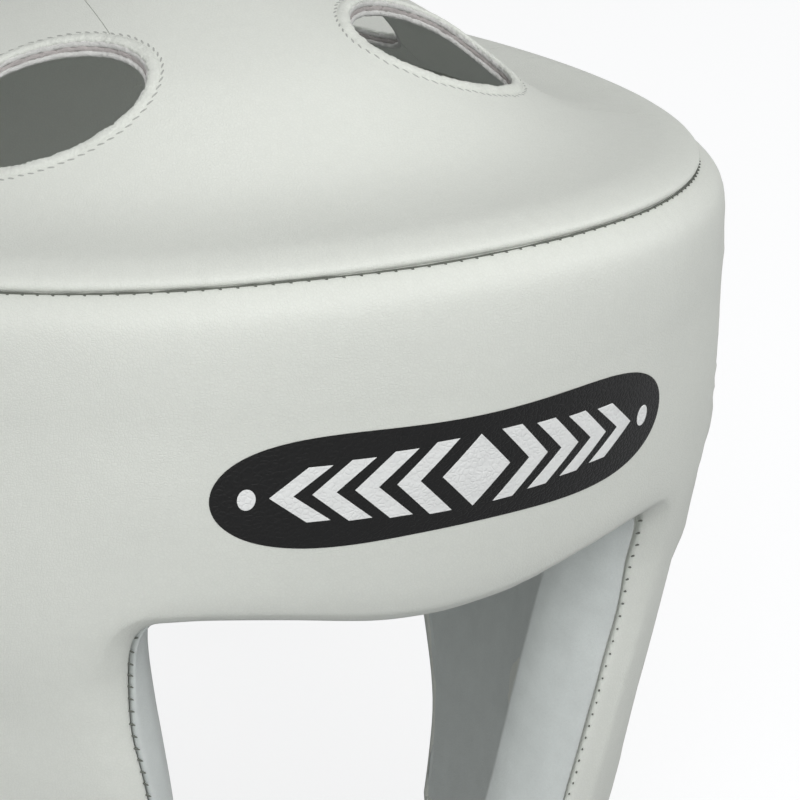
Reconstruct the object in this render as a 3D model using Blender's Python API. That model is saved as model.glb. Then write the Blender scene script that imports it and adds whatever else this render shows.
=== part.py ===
"""Padded boxing headgear in white leather with an open face.

Metres, +Z up, the wearer looks along -Y and +X is the wearer's left.
The origin is the point where the top of the head meets the inside of the crown.
All shapes are worked out in millimetres from the front of the crown seam and
are moved to the origin as they are made.
"""
import bpy
import bmesh
import math
from collections import namedtuple
from mathutils import Vector

for item in list(bpy.data.objects):
    bpy.data.objects.remove(item, do_unlink=True)

MM = 0.001
HALF_TURN = 180.0

# Outer size of the padded wall, in millimetres
HALF_WIDTH = 111.0
FRONT_REACH = 131.0
BACK_REACH = 131.0
CHEEK_DROP = 216.0
FOREHEAD_HEIGHT = 76.0
PAD_THICKNESS = 26.0
CHEEK_THICKNESS = 23.0
BACK_THICKNESS = 24.0
BACK_DROP = 112.0

# Face opening and side pads
OPENING_ANGLE = 27.2
SIDE_ANGLE = 119.0
PAD_PARTING = 0.6
FOREHEAD_ROUND = 9.0
OPENING_ROUND = 15.0
INNER_ROUND = 8.0
TOP_ROUND = 8.0
REAR_ROUND = 5.0
BOTTOM_ROUND = 11.0
STITCH_SETBACK = 0.7
STITCH_GAIN = 3.0

# Lining skin and the gap that sewn pieces keep
LINING_THICKNESS = 1.5
PIECE_GAP = 0.4

# Crown
SEAM_TILT = 28.8
SEAM_SAG = 8.5
SEAM_INSET = 5.6
CROWN_WALL = 3.4
CROWN_EDGE = 2.9
CROWN_EDGE_ROUND = 2.1
CROWN_DOME = 35.6
HOLE_LENGTH = 46.4
HOLE_WIDTH = 30.0
HOLE_ACROSS = 40.5
HOLE_ALONG = 41.0
HOLE_TURN = 44.0
STRIP_HALF = 24.0
CROWN_TURN = -8.5

# Ears
EAR_LENGTH = 46.0
EAR_WIDTH = 30.0
EAR_DROP = 118.0
EAR_BACK = 6.0

# Straps
STRAP_THICKNESS = 2.5
BACK_STRAP_WIDTH = 38.0
BACK_STRAP_DROP = 66.0
BACK_STRAP_GRIP = 17.0
BACK_STRAP_OVERLAP = 26.0
CHIN_STRAP_WIDTH = 25.0
CHIN_STRAP_HANG = 44.0
CHIN_STRAP_FORWARD = 30.0
CHIN_STRAP_GRIP = 34.0
CHIN_STRAP_ANGLE = 76.0
CHIN_STRAP_SLANT = 11.0
BUCKLE_DISTANCE = 24.0
BUCKLE_LENGTH = 15.0
BUCKLE_WALL = 2.2

# Facets
FACE_STEPS = 4
CROWN_SPOKES = 48
ROW_STEPS = 2
GRIP_STEPS = 6
HANG_STEPS = 4

# Girth of the wall: shares of CHEEK_DROP, HALF_WIDTH, FRONT_REACH and BACK_REACH
Girth = namedtuple("Girth", "drop width front back")
GIRTHS = (
    Girth(-0.05, 0.930, 0.985, 0.985),
    Girth(0.00, 0.938, 0.997, 0.992),
    Girth(0.09, 0.956, 1.000, 1.000),
    Girth(0.21, 0.998, 0.980, 1.000),
    Girth(0.29, 1.017, 0.950, 0.990),
    Girth(0.36, 1.027, 0.918, 0.972),
    Girth(0.45, 1.012, 0.880, 0.943),
    Girth(0.53, 0.986, 0.860, 0.915),
    Girth(0.60, 0.961, 0.841, 0.890),
    Girth(0.68, 0.933, 0.814, 0.860),
    Girth(0.76, 0.903, 0.786, 0.830),
    Girth(0.88, 0.861, 0.752, 0.790),
    Girth(1.00, 0.818, 0.720, 0.750),
)

# Front pad lines from the face opening to the seam or the rear edge.
# edge_angle is a share of OPENING_ANGLE, edge_fall runs from the forehead edge to the cheek's bottom,
# far_angle is a share of SIDE_ANGLE, far_fall runs from the crown seam to the cheek's bottom.
Line = namedtuple("Line", "edge_angle edge_fall far_angle far_fall")
LINES = (
    Line(0.000, 0.006, 0.000, 0.000),
    Line(0.260, 0.000, 0.110, 0.000),
    Line(0.530, -0.016, 0.225, 0.000),
    Line(0.800, -0.024, 0.345, 0.000),
    Line(1.000, -0.020, 0.475, 0.000),
    Line(1.085, 0.006, 0.620, 0.000),
    Line(1.080, 0.085, 0.800, 0.000),
    Line(1.042, 0.190, 0.972, 0.000),
    Line(1.000, 0.300, 1.000, 0.110),
    Line(0.968, 0.420, 1.000, 0.330),
    Line(0.948, 0.550, 0.990, 0.560),
    Line(0.944, 0.690, 0.915, 0.740),
    Line(0.952, 0.840, 0.854, 0.880),
    Line(0.972, 1.000, 0.838, 1.000),
)

# Rise of the crown, a share of CROWN_DOME, at every quarter of the way from the middle to the seam.
# The first and last rows only set the slope at the ends.
CROWN_RISES = (0.84, 1.00, 0.84, 0.58, 0.16, 0.00, 0.16)

# Chin strap: shares of its hang, its forward reach and the half width where it starts
Hang = namedtuple("Hang", "fall forward across")
HANGS = (
    Hang(0.00, 0.00, 1.000),
    Hang(0.34, 0.22, 0.990),
    Hang(0.68, 0.52, 0.870),
    Hang(0.92, 0.84, 0.480),
    Hang(1.00, 1.00, 0.000),
)

COLOURS = {
    "leather": (0.62, 0.64, 0.60),
    "lining": (0.42, 0.45, 0.44),
    "strap": (0.55, 0.57, 0.54),
    "plastic": (0.03, 0.03, 0.03),
}


def blend(low, high, share):
    return low + (high - low) * share


def through(values, place):
    """Smooth curve through evenly counted values, read at a fractional place."""
    last = len(values) - 1
    index = min(int(place), last - 1)
    part = place - index
    here = values[index]
    there = values[index + 1]
    before = values[index - 1] if index > 0 else 2 * here - there
    after = values[index + 2] if index + 2 <= last else 2 * there - here
    return 0.5 * (2 * here + (there - before) * part
                  + (2 * before - 5 * here + 4 * there - after) * part ** 2
                  + (3 * here - before - 3 * there + after) * part ** 3)


def girth(height):
    """Half width, front reach and back reach of the outer face at a height."""
    share = -height / CHEEK_DROP
    drops = [row.drop for row in GIRTHS]
    share = min(max(share, drops[0]), drops[-1])
    index = max(i for i in range(len(drops) - 1) if drops[i] <= share)
    place = index + (share - drops[index]) / (drops[index + 1] - drops[index])
    width = through([row.width for row in GIRTHS], place) * HALF_WIDTH
    front = through([row.front for row in GIRTHS], place) * FRONT_REACH
    back = through([row.back for row in GIRTHS], place) * BACK_REACH
    return width, front, back


def wall(angle, height, depth):
    """Point at an angle in degrees from the front, a height and a depth in from the outer face."""
    width, front, back = girth(height)
    turn = math.radians(angle)
    reach = front if math.cos(turn) > 0 else back
    return Vector(((width - depth) * math.sin(turn), -(reach - depth) * math.cos(turn), height))


def seam_height(angle):
    turn = math.radians(angle)
    return -SEAM_TILT * 0.5 * (1 - math.cos(turn)) - SEAM_SAG * math.sin(turn) ** 2


def top_fall(depth, thickness):
    """How far the rounded top of a pad lies below its highest line, at a depth."""
    middle = thickness / 2
    lean = min(abs(1 - depth / middle), 1.0)
    return TOP_ROUND * (1 - math.sqrt(1 - lean ** 2))


def thickness_over(angle):
    """Thickness of the pad that the crown rests on at an angle between -180 and 180."""
    return PAD_THICKNESS if abs(angle) <= SIDE_ANGLE + PAD_PARTING / 2 else BACK_THICKNESS


def pad_top(angle):
    """Highest line of the pads' rounded top."""
    return seam_height(angle) + top_fall(SEAM_INSET, thickness_over(angle))


def thickness_at(height):
    share = min(max(-height / CHEEK_DROP, 0.0), 1.0)
    return blend(PAD_THICKNESS, CHEEK_THICKNESS, share)


SEAT_HEIGHT = CROWN_EDGE + CROWN_DOME - CROWN_WALL - SEAM_TILT * 0.5


def placed(point):
    return (point[0] * MM, point[1] * MM, (point[2] - SEAT_HEIGHT) * MM)


def material(name):
    made = bpy.data.materials.get(name)
    if made is None:
        made = bpy.data.materials.new(name)
        made.use_nodes = True
        surface = made.node_tree.nodes["Principled BSDF"]
        surface.inputs["Base Color"].default_value = (*COLOURS[name], 1.0)
        surface.inputs["Roughness"].default_value = 0.6
    return made


def new_object(name, mesh_data, slot):
    bmesh.ops.recalc_face_normals(mesh_data, faces=mesh_data.faces)
    mesh = bpy.data.meshes.new(name)
    mesh_data.to_mesh(mesh)
    mesh_data.free()
    made = bpy.data.objects.new(name, mesh)
    bpy.context.scene.collection.objects.link(made)
    mesh.materials.append(material(slot))
    return made


def two_triangles(data, corners, turned):
    """Quad from four corners in order, split along one diagonal or the other."""
    a, b, c, d = corners
    if turned:
        data.faces.new((a, b, d))
        data.faces.new((b, c, d))
    else:
        data.faces.new((a, b, c))
        data.faces.new((a, c, d))


def tube(name, sections, slot):
    """Closed body through sections whose points pair up across their middle."""
    data = bmesh.new()
    rings = [[data.verts.new(placed(point)) for point in section] for section in sections]
    count = len(rings[0])
    for here, there in zip(rings, rings[1:]):
        for i in range(count):
            j = (i + 1) % count
            two_triangles(data, (here[i], here[j], there[j], there[i]), i >= count // 2)
    for ring in (rings[0], rings[-1]):
        for i in range(count // 2 - 1):
            data.faces.new((ring[i], ring[i + 1], ring[count - 2 - i], ring[count - 1 - i]))
    return new_object(name, data, slot)


def skin(name, outer, inner, slot, fold=0):
    """Closed thin body between two matching grids, its diagonals turning over at the column fold."""
    data = bmesh.new()
    sheets = []
    for grid in (outer, inner):
        sheets.append([[data.verts.new(placed(point)) for point in row] for row in grid])
    rows = len(outer)
    columns = len(outer[0])
    for sheet in sheets:
        for i in range(rows - 1):
            for j in range(columns - 1):
                corners = (sheet[i][j], sheet[i][j + 1], sheet[i + 1][j + 1], sheet[i + 1][j])
                two_triangles(data, corners, j < fold)
    first, second = sheets
    for i in range(rows - 1):
        for j in (0, columns - 1):
            data.faces.new((first[i][j], first[i + 1][j], second[i + 1][j], second[i][j]))
    for j in range(columns - 1):
        for i in (0, rows - 1):
            data.faces.new((first[i][j], first[i][j + 1], second[i][j + 1], second[i][j]))
    return new_object(name, data, slot)


def pad_line(place):
    """Edge point and far point of one line over the front pad, as angle and height."""
    edge_angle = through([row.edge_angle for row in LINES], place) * OPENING_ANGLE
    edge_fall = through([row.edge_fall for row in LINES], place)
    far_angle = through([row.far_angle for row in LINES], place) * SIDE_ANGLE
    far_fall = max(through([row.far_fall for row in LINES], place), 0.0)
    lowest = -(CHEEK_DROP - BOTTOM_ROUND)
    if place <= 7:
        far_fall = 0.0
    edge = (edge_angle, blend(-FOREHEAD_HEIGHT, lowest, edge_fall))
    far = (far_angle, blend(pad_top(far_angle), lowest, far_fall))
    return edge, far


def flat(point):
    """Unrolled place of an angle and a height, in millimetres."""
    return Vector((math.radians(point[0]) * HALF_WIDTH, point[1]))


def unflat(point):
    return math.degrees(point[0] / HALF_WIDTH), point[1]


def across(place):
    """Lengths and unrolled points of the curve that crosses the pad at a place along it."""
    last = len(LINES) - 1
    edge, far = pad_line(place)
    ends = []
    for k, window in ((0, 0.25), (1, 1.2)):
        low = max(place - window, 0.0)
        high = min(place + window, last)
        run = flat(pad_line(high)[k]) - flat(pad_line(low)[k])
        if place < 0.01:
            run = Vector((1.0, 0.0))
        if place > last - 0.01:
            run = Vector((0.0, -1.0))
        run.normalize()
        ends.append(Vector((-run.y, run.x)))
    start = flat(edge)
    stop = flat(far)
    first = start + ends[0] * (stop - start).length * 0.32
    second = stop - ends[1] * (stop - start).length * 0.24
    points = []
    lengths = []
    total = 0.0
    for i in range(25):
        t = i / 24
        point = (start * (1 - t) ** 3 + first * 3 * t * (1 - t) ** 2
                 + second * 3 * t ** 2 * (1 - t) + stop * t ** 3)
        if points:
            total += (point - points[-1]).length
        points.append(point)
        lengths.append(total)
    return lengths, points


def along(curve, length):
    lengths, points = curve
    if length <= 0:
        step = (points[1] - points[0]).normalized()
        return unflat(points[0] + step * length)
    if length >= lengths[-1]:
        step = (points[-1] - points[-2]).normalized()
        return unflat(points[-1] + step * (length - lengths[-1]))
    index = max(i for i in range(len(lengths) - 1) if lengths[i] <= length)
    part = (length - lengths[index]) / (lengths[index + 1] - lengths[index])
    return unflat(points[index].lerp(points[index + 1], part))


def rounding(distance, extent, power):
    """Share of the half thickness reached at a distance from the tip of a rounded end."""
    return (1 - max(1 - distance / extent, 0.0) ** power) ** (1 / power)


FOREHEAD_POWER = 2.8
OPENING_POWER = 2.0
INNER_POWER = 2.6
REBATE = LINING_THICKNESS + PIECE_GAP
STEP = 0.25


def stitch_distance(place):
    """Distance of the sewn edge of the leather from the tip of the opening's wall."""
    share = min(max(place - 4, 0.0) / 3, 1.0)
    return STITCH_SETBACK + STITCH_GAIN * share


def profile(place, length):
    """Distances from the opening's tip, named by what the points do."""
    stitch = stitch_distance(place)
    far_round = TOP_ROUND if place <= 7 else blend(TOP_ROUND, REAR_ROUND, min(place - 7, 1.0))
    turn = min(max(place - 4, 0.0) / 2, 1.0)
    front_round = blend(FOREHEAD_ROUND, OPENING_ROUND, turn)
    rounds = (far_round, front_round, blend(FOREHEAD_POWER, OPENING_POWER, turn))
    tip = [stitch * share for share in (0.02, 0.14, 0.5)]
    edge = [stitch - STEP, stitch + STEP]
    bend = [blend(edge[1], front_round, share) for share in (0.25, 0.6)]
    steps = [i / FACE_STEPS for i in range(FACE_STEPS + 1)]
    face = bend + [blend(front_round, length - far_round - 3.0, share) for share in steps]
    back = [blend(INNER_ROUND, length - far_round - 3.0, share) for share in steps]
    stop = [length - far_round - 2.0, length - far_round - 1.5]
    roll = [length - far_round * share for share in (0.62, 0.24, 0.01)]
    return tip, edge, face, back, stop, roll, rounds


def pad_point(curve, distance, side, inset, rounds, squeeze=1.0, extra=0.0):
    """Point of the pad's section. side is -1 outside and 1 inside, inset is how far it lies in."""
    length = curve[0][-1]
    angle, height = along(curve, distance)
    thickness = thickness_at(height)
    far_round = rounds[0]
    extent, power = rounds[1:] if side < 0 else (INNER_ROUND, INNER_POWER)
    full = rounding(distance, extent, power) if distance < length / 2 else 1.0
    if length - distance < far_round:
        full = rounding(length - distance, far_round, 2.0)
    moved = distance
    if inset and distance < extent:
        moved = distance + inset * (1 - distance / extent)
        angle, height = along(curve, moved)
    half = (thickness / 2 - inset) * full * squeeze
    return wall(angle, height - extra, thickness / 2 + side * half)


def front_sections():
    """Sections of the front pad, the last ones rounding off the cheek's bottom."""
    last = len(LINES) - 1
    count = last * ROW_STEPS
    stations = [(i / ROW_STEPS, 1.0, 0.0, True) for i in range(-count, count + 1)]
    ends = []
    for turn in (2, 32, 62, 86):
        angle = math.radians(turn)
        ends.append((last, math.cos(angle), BOTTOM_ROUND * math.sin(angle), False))
    before = [(-place, squeeze, extra, lined) for place, squeeze, extra, lined in reversed(ends)]
    return before + stations + ends


def front_pad():
    sections = []
    for place, squeeze, extra, lined in front_sections():
        mirror = -1 if place < 0 else 1
        curve = across(abs(place))
        length = curve[0][-1]
        tip, edge, face, back, stop, roll, rounds = profile(abs(place), length)
        rebate = REBATE if lined else 0.0
        outer = [(d, rebate) for d in tip] + [(edge[0], rebate), (edge[1], 0.0)]
        outer += [(d, 0.0) for d in face + roll]
        inner = [(d, rebate) for d in tip + edge + back] + [(stop[0], rebate), (stop[1], 0.0)]
        inner += [(d, 0.0) for d in roll]
        section = []
        for side, points in ((-1, outer), (1, list(reversed(inner)))):
            for distance, inset in points:
                point = pad_point(curve, distance, side, inset, rounds, squeeze, extra)
                point.x *= mirror
                section.append(point)
        sections.append(section)
    return tube("front_pad", sections, "leather")


def front_lining():
    last = len(LINES) - 1
    count = last * ROW_STEPS
    outer_rows = []
    inner_rows = []
    for i in range(-count, count + 1):
        place = i / ROW_STEPS
        mirror = -1 if place < 0 else 1
        curve = across(abs(place))
        length = curve[0][-1]
        tip, edge, face, back, stop, roll, rounds = profile(abs(place), length)
        start = edge[0] - PIECE_GAP
        stop_at = stop[0] - PIECE_GAP
        rise = -PIECE_GAP if abs(i) == count else 0.0
        path = [(start, -1)] + [(d, -1) for d in reversed(tip)]
        path += [(d, 1) for d in tip + [edge[1]] + back + [stop_at]]
        for rows, inset in ((outer_rows, 0.0), (inner_rows, LINING_THICKNESS)):
            row = []
            for distance, side in path:
                point = pad_point(curve, distance, side, inset, rounds, 1.0, rise)
                point.x *= mirror
                row.append(point)
            rows.append(row)
    return skin("front_lining", outer_rows, inner_rows, "lining", 4)


def crown_height(share, angle):
    """Height of the crown's outer face at a share of the way from the middle to the seam."""
    turn = math.radians(angle)
    base = -SEAM_TILT * 0.5 * (1 - share * math.cos(turn)) - SEAM_SAG * share * math.sin(turn) ** 2
    inside = (1 - share) * (HALF_WIDTH - SEAM_INSET)
    edge = CROWN_EDGE
    if inside < CROWN_EDGE_ROUND:
        lean = 1 - inside / CROWN_EDGE_ROUND
        edge = CROWN_EDGE - CROWN_EDGE_ROUND * (1 - math.sqrt(1 - lean ** 2))
    return base + edge + CROWN_DOME * through(CROWN_RISES, 1 + share * 4)


def crown_under(share, angle):
    """Height of the crown's inner face, which rests on the rounded tops of the pads."""
    height = crown_height(share, angle) - CROWN_WALL
    depth = SEAM_INSET + (1 - share) * (HALF_WIDTH - SEAM_INSET)
    if depth < thickness_over(angle):
        rest = pad_top(angle) - top_fall(depth, thickness_over(angle)) + PIECE_GAP * 1.3
        height = max(height, rest)
    return height


def crown_point(share, angle, height):
    rim = wall(angle, seam_height(angle), SEAM_INSET)
    return Vector((rim.x * share, rim.y * share, height))


def signed(angle):
    """The same direction as an angle from minus half a turn to half a turn."""
    return angle if angle <= HALF_TURN else angle - 2 * HALF_TURN


def crown_body(name):
    """Whole crown before its openings are cut, thick where it sits on the pads."""
    rim_size = HALF_WIDTH - SEAM_INSET
    tops = [0.22, 0.44, 0.62, 0.76, 0.89]
    tops += [1 - CROWN_EDGE_ROUND * part / rim_size for part in (1.0, 0.55, 0.20, 0.0)]
    data = bmesh.new()
    spokes = [2 * HALF_TURN * i / CROWN_SPOKES for i in range(CROWN_SPOKES)]
    rings = []
    for share in tops:
        rings.append([crown_point(share, a, crown_height(share, a)) for a in spokes])
    under = []
    lows = [1 - inside / rim_size for inside in (0.0, 1.2, 3.6, 8.4, 13.0, 18.0, 24.0)]
    for share in lows + [0.66, 0.48, 0.28]:
        under.append([crown_point(share, a, crown_under(share, signed(a))) for a in spokes])
    rows = rings + under
    verts = [[data.verts.new(placed(point)) for point in row] for row in rows]
    for here, there in zip(verts, verts[1:]):
        for i in range(CROWN_SPOKES):
            j = (i + 1) % CROWN_SPOKES
            data.faces.new((here[i], here[j], there[j], there[i]))
    top = data.verts.new(placed((0, 0, crown_height(0.0, 0.0))))
    low = data.verts.new(placed((0, 0, crown_height(0.0, 0.0) - CROWN_WALL)))
    for i in range(CROWN_SPOKES):
        j = (i + 1) % CROWN_SPOKES
        data.faces.new((top, verts[0][j], verts[0][i]))
        data.faces.new((low, verts[-1][i], verts[-1][j]))
    return new_object(name, data, "leather")


cutters = bpy.data.collections.new("cutters")
bpy.context.scene.collection.children.link(cutters)


def prism(name, outline, low, high, axis="Z"):
    """Closed prism over an outline, used as a cutter."""
    data = bmesh.new()
    rings = []
    for level in (low, high):
        ring = []
        for u, v in outline:
            point = (u, v, level) if axis == "Z" else (level, u, v)
            ring.append(data.verts.new(placed(point)))
        rings.append(ring)
    count = len(outline)
    for i in range(count):
        j = (i + 1) % count
        data.faces.new((rings[0][i], rings[0][j], rings[1][j], rings[1][i]))
    data.faces.new(rings[0])
    data.faces.new(rings[1])
    bmesh.ops.recalc_face_normals(data, faces=data.faces)
    mesh = bpy.data.meshes.new(name)
    data.to_mesh(mesh)
    data.free()
    made = bpy.data.objects.new(name, mesh)
    cutters.objects.link(made)
    made.hide_render = True
    made.display_type = "WIRE"
    return made


def cut(target, tool, operation="DIFFERENCE"):
    step = target.modifiers.new(tool.name, "BOOLEAN")
    step.operation = operation
    step.solver = "EXACT"
    step.object = tool


def oval(length, width, centre, turn, sides=28):
    points = []
    swing = math.radians(turn)
    for i in range(sides):
        a = 2 * math.pi * i / sides
        u = length / 2 * math.cos(a)
        v = width / 2 * math.sin(a)
        points.append((centre[0] + u * math.cos(swing) - v * math.sin(swing),
                       centre[1] + u * math.sin(swing) + v * math.cos(swing)))
    return points


def turned(points):
    """Plan points swung by the small turn that the crown is sewn on with."""
    swing = math.radians(CROWN_TURN)
    return [(x * math.cos(swing) - y * math.sin(swing), x * math.sin(swing) + y * math.cos(swing))
            for x, y in points]


# Plan outline of a side strip from the seam beside the middle to past the rim.
# across runs from the strip's seam to the hole's middle at 1, along is a share of HOLE_ALONG.
Corner = namedtuple("Corner", "across along")
ARM = (Corner(0.0, 0.94), Corner(1.2, 0.86), Corner(1.95, 0.64), Corner(6.0, 1.25))


def arm_outline(side, grow):
    """Plan outline of the side strip between a front hole and a rear hole."""
    rows = []
    for row in ARM:
        x = STRIP_HALF - grow + row.across * (HOLE_ACROSS - STRIP_HALF)
        rows.append((x, HOLE_ALONG * row.along + grow))
    front = [(x * side, -y) for x, y in rows]
    back = [(x * side, y) for x, y in reversed(rows)]
    return turned(front + back)


def crown_pieces():
    top = SEAT_HEIGHT + 40
    bottom = -SEAM_TILT - SEAM_SAG - 25
    holes = []
    for side in (-1, 1):
        for end in (-1, 1):
            name = "hole_%s_%s" % ("left" if side > 0 else "right", "front" if end < 0 else "back")
            outline = turned(oval(HOLE_LENGTH, HOLE_WIDTH, (side * HOLE_ACROSS, end * HOLE_ALONG),
                                  side * -end * HOLE_TURN))
            holes.append(prism(name, outline, bottom, top))
    panel = crown_body("crown_panel")
    for side, word in ((1, "left"), (-1, "right")):
        clear = prism("clear_" + word, arm_outline(side, PIECE_GAP / 2), bottom, top)
        keep = prism("keep_" + word, arm_outline(side, -PIECE_GAP / 2), bottom - 1, top + 1)
        cut(panel, clear)
        arm = crown_body("crown_side_" + word)
        cut(arm, keep, "INTERSECT")
        for hole in holes:
            if ("left" in hole.name) == (side > 0):
                cut(arm, hole)
    for hole in holes:
        cut(panel, hole)


def back_pad():
    """Pad over the back of the head, a plain arched block with round edges."""
    start = SIDE_ANGLE + PAD_PARTING
    sections = []
    swing = math.degrees(REAR_ROUND / BACK_REACH)
    rows = [(start + swing * part, share) for part, share in ((0.02, 0.18), (0.14, 0.50), (0.45, 0.84))]
    stop = 2 * HALF_TURN - start
    rows += [(blend(start + swing, stop - swing, i / 11), 1.0) for i in range(12)]
    rows += [(stop - swing * part, share) for part, share in ((0.45, 0.84), (0.14, 0.50), (0.02, 0.18))]
    for angle, share in rows:
        heading = signed(angle)
        top = pad_top(heading)
        lowest = -BACK_DROP
        shrink = (1 - share) * REAR_ROUND
        top -= shrink
        lowest += shrink
        half = BACK_THICKNESS / 2
        length = top - lowest
        section = []
        spots = [0.03, 0.25, 0.9, 2.4] + [blend(TOP_ROUND * 0.5, length - TOP_ROUND, i / 4) for i in range(5)]
        spots += [length - TOP_ROUND * part for part in (0.60, 0.25, 0.06, 0.004)]
        for side in (-1, 1):
            order = spots if side < 0 else list(reversed(spots))
            for spot in order:
                full = 1.0
                if spot < TOP_ROUND:
                    full = rounding(spot, TOP_ROUND, 2.0)
                if length - spot < TOP_ROUND:
                    full = min(full, rounding(length - spot, TOP_ROUND, 2.0))
                section.append(wall(heading, lowest + spot, half + side * half * full * share))
        sections.append(section)
    return tube("back_pad", sections, "leather")


def strip(name, frames, width, thickness, slot):
    """Strap along centre points with its width and thickness directions at each."""
    sections = []
    for centre, wide, thick in frames:
        a = wide * (width / 2)
        b = thick * (thickness / 2)
        sections.append([centre - a - b, centre + a - b, centre + a + b, centre - a + b])
    return tube(name, sections, slot)


def back_strap(side):
    """One half of the closure strap, from the side pad to past the middle of the back."""
    word = "left" if side > 0 else "right"
    radius = BACK_REACH
    start = SIDE_ANGLE - math.degrees(BACK_STRAP_GRIP / radius)
    overlap = math.degrees(BACK_STRAP_OVERLAP / radius)
    stop = HALF_TURN + overlap / 2
    inner = []
    outer = []
    level = -BACK_STRAP_DROP
    for i in range(15):
        angle = blend(start, stop, i / 14)
        lift = PIECE_GAP * 1.5
        if side < 0:
            rise = (angle - (HALF_TURN - overlap * 1.6)) / (overlap * 0.6)
            rise = min(max(rise, 0.0), 1.0)
            lift += (STRAP_THICKNESS + PIECE_GAP) * rise * rise * (3 - 2 * rise)
        rows = ([], [])
        for share in (-0.5, 0.0, 0.5):
            height = level + BACK_STRAP_WIDTH * share
            for row, depth in zip(rows, (-lift, -lift - STRAP_THICKNESS)):
                point = wall(angle, height, depth)
                point.x *= side
                row.append(point)
        inner.append(rows[0])
        outer.append(rows[1])
    return skin("back_strap_" + word, outer, inner, "strap")


def chin_route():
    """Centre points of the chin strap from one cheek to the other, with width and thickness directions."""
    low = -(CHEEK_DROP - BOTTOM_ROUND)
    lift = PIECE_GAP * 2 + STRAP_THICKNESS / 2
    half = []
    sides = []
    for i in range(GRIP_STEPS + 1):
        angle = CHIN_STRAP_ANGLE + CHIN_STRAP_SLANT * (1 - i / GRIP_STEPS)
        height = low + CHIN_STRAP_GRIP * (1 - i / GRIP_STEPS)
        half.append(wall(angle, height, -lift))
        sides.append((wall(angle + 3, height, 0) - wall(angle - 3, height, 0)).normalized())
    start = half[-1]
    steps = (len(HANGS) - 1) * HANG_STEPS
    for i in range(1, steps + 1):
        place = i / HANG_STEPS
        fall = through([row.fall for row in HANGS], place)
        forward = through([row.forward for row in HANGS], place)
        over = through([row.across for row in HANGS], place)
        half.append(Vector((start.x * over, start.y - CHIN_STRAP_FORWARD * forward,
                            start.z - CHIN_STRAP_HANG * fall)))
        sides.append(sides[GRIP_STEPS].lerp(Vector((0, 1, 0)), min(place / 2, 1.0)))
    half[-1].x = 0.0
    frames = []
    for i, point in enumerate(half):
        if i == len(half) - 1:
            run = Vector((-1, 0, 0))
        else:
            run = (half[i + 1] - half[max(i - 1, 0)]).normalized()
        wide = (sides[i] - run * sides[i].dot(run)).normalized()
        frames.append((point, wide, wide.cross(run).normalized()))
    flip = Vector((-1, 1, 1))
    other = [tuple(part * flip for part in frame) for frame in frames[:-1]]
    return other + list(reversed(frames))


def frame_at(frames, lengths, length):
    index = max(i for i in range(len(lengths) - 1) if lengths[i] <= length)
    part = (length - lengths[index]) / (lengths[index + 1] - lengths[index])
    return tuple(a.lerp(b, part) for a, b in zip(frames[index], frames[index + 1]))


def chin_strap():
    frames = chin_route()
    strip("chin_strap", frames, CHIN_STRAP_WIDTH, STRAP_THICKNESS, "strap")
    lengths = [0.0]
    for here, there in zip(frames, frames[1:]):
        lengths.append(lengths[-1] + (there[0] - here[0]).length)
    start = lengths[-1] - CHIN_STRAP_GRIP - BUCKLE_DISTANCE - BUCKLE_LENGTH
    stop = start + BUCKLE_LENGTH
    marks = [start] + [length for length in lengths if start + 0.5 < length < stop - 0.5] + [stop]
    inner = []
    outer = []
    room = PIECE_GAP * 1.5
    for mark in marks:
        centre, wide, thick = frame_at(frames, lengths, mark)
        for row, grow in ((inner, 0.0), (outer, BUCKLE_WALL)):
            half_wide = wide * (CHIN_STRAP_WIDTH / 2 + room + grow)
            half_thick = thick * (STRAP_THICKNESS / 2 + room + grow)
            row.append([centre - half_wide - half_thick, centre + half_wide - half_thick,
                        centre + half_wide + half_thick, centre - half_wide + half_thick])
    data = bmesh.new()
    inside = [[data.verts.new(placed(point)) for point in row] for row in inner]
    outside = [[data.verts.new(placed(point)) for point in row] for row in outer]
    for rings in (inside, outside, (inside[0], outside[0]), (inside[-1], outside[-1])):
        for here, there in zip(rings, rings[1:]):
            for i in range(4):
                j = (i + 1) % 4
                data.faces.new((here[i], here[j], there[j], there[i]))
    new_object("chin_buckle", data, "plastic")


def ear_cutter(side):
    word = "left" if side > 0 else "right"
    outline = oval(EAR_WIDTH, EAR_LENGTH, (EAR_BACK, -EAR_DROP), 0.0)
    low, high = sorted((side * HALF_WIDTH * 0.45, side * HALF_WIDTH * 1.35))
    return prism("ear_" + word, outline, low, high, "X")


front = front_pad()
lining = front_lining()
for side in (1, -1):
    tool = ear_cutter(side)
    cut(front, tool)
    cut(lining, tool)
crown_pieces()
back_pad()
back_strap(1)
back_strap(-1)
chin_strap()
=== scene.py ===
"""Padded white leather headgear with an open face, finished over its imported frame.

Every size is in metres. +Z is up, the wearer looks along -Y and +X is the wearer's left.
"""

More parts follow.
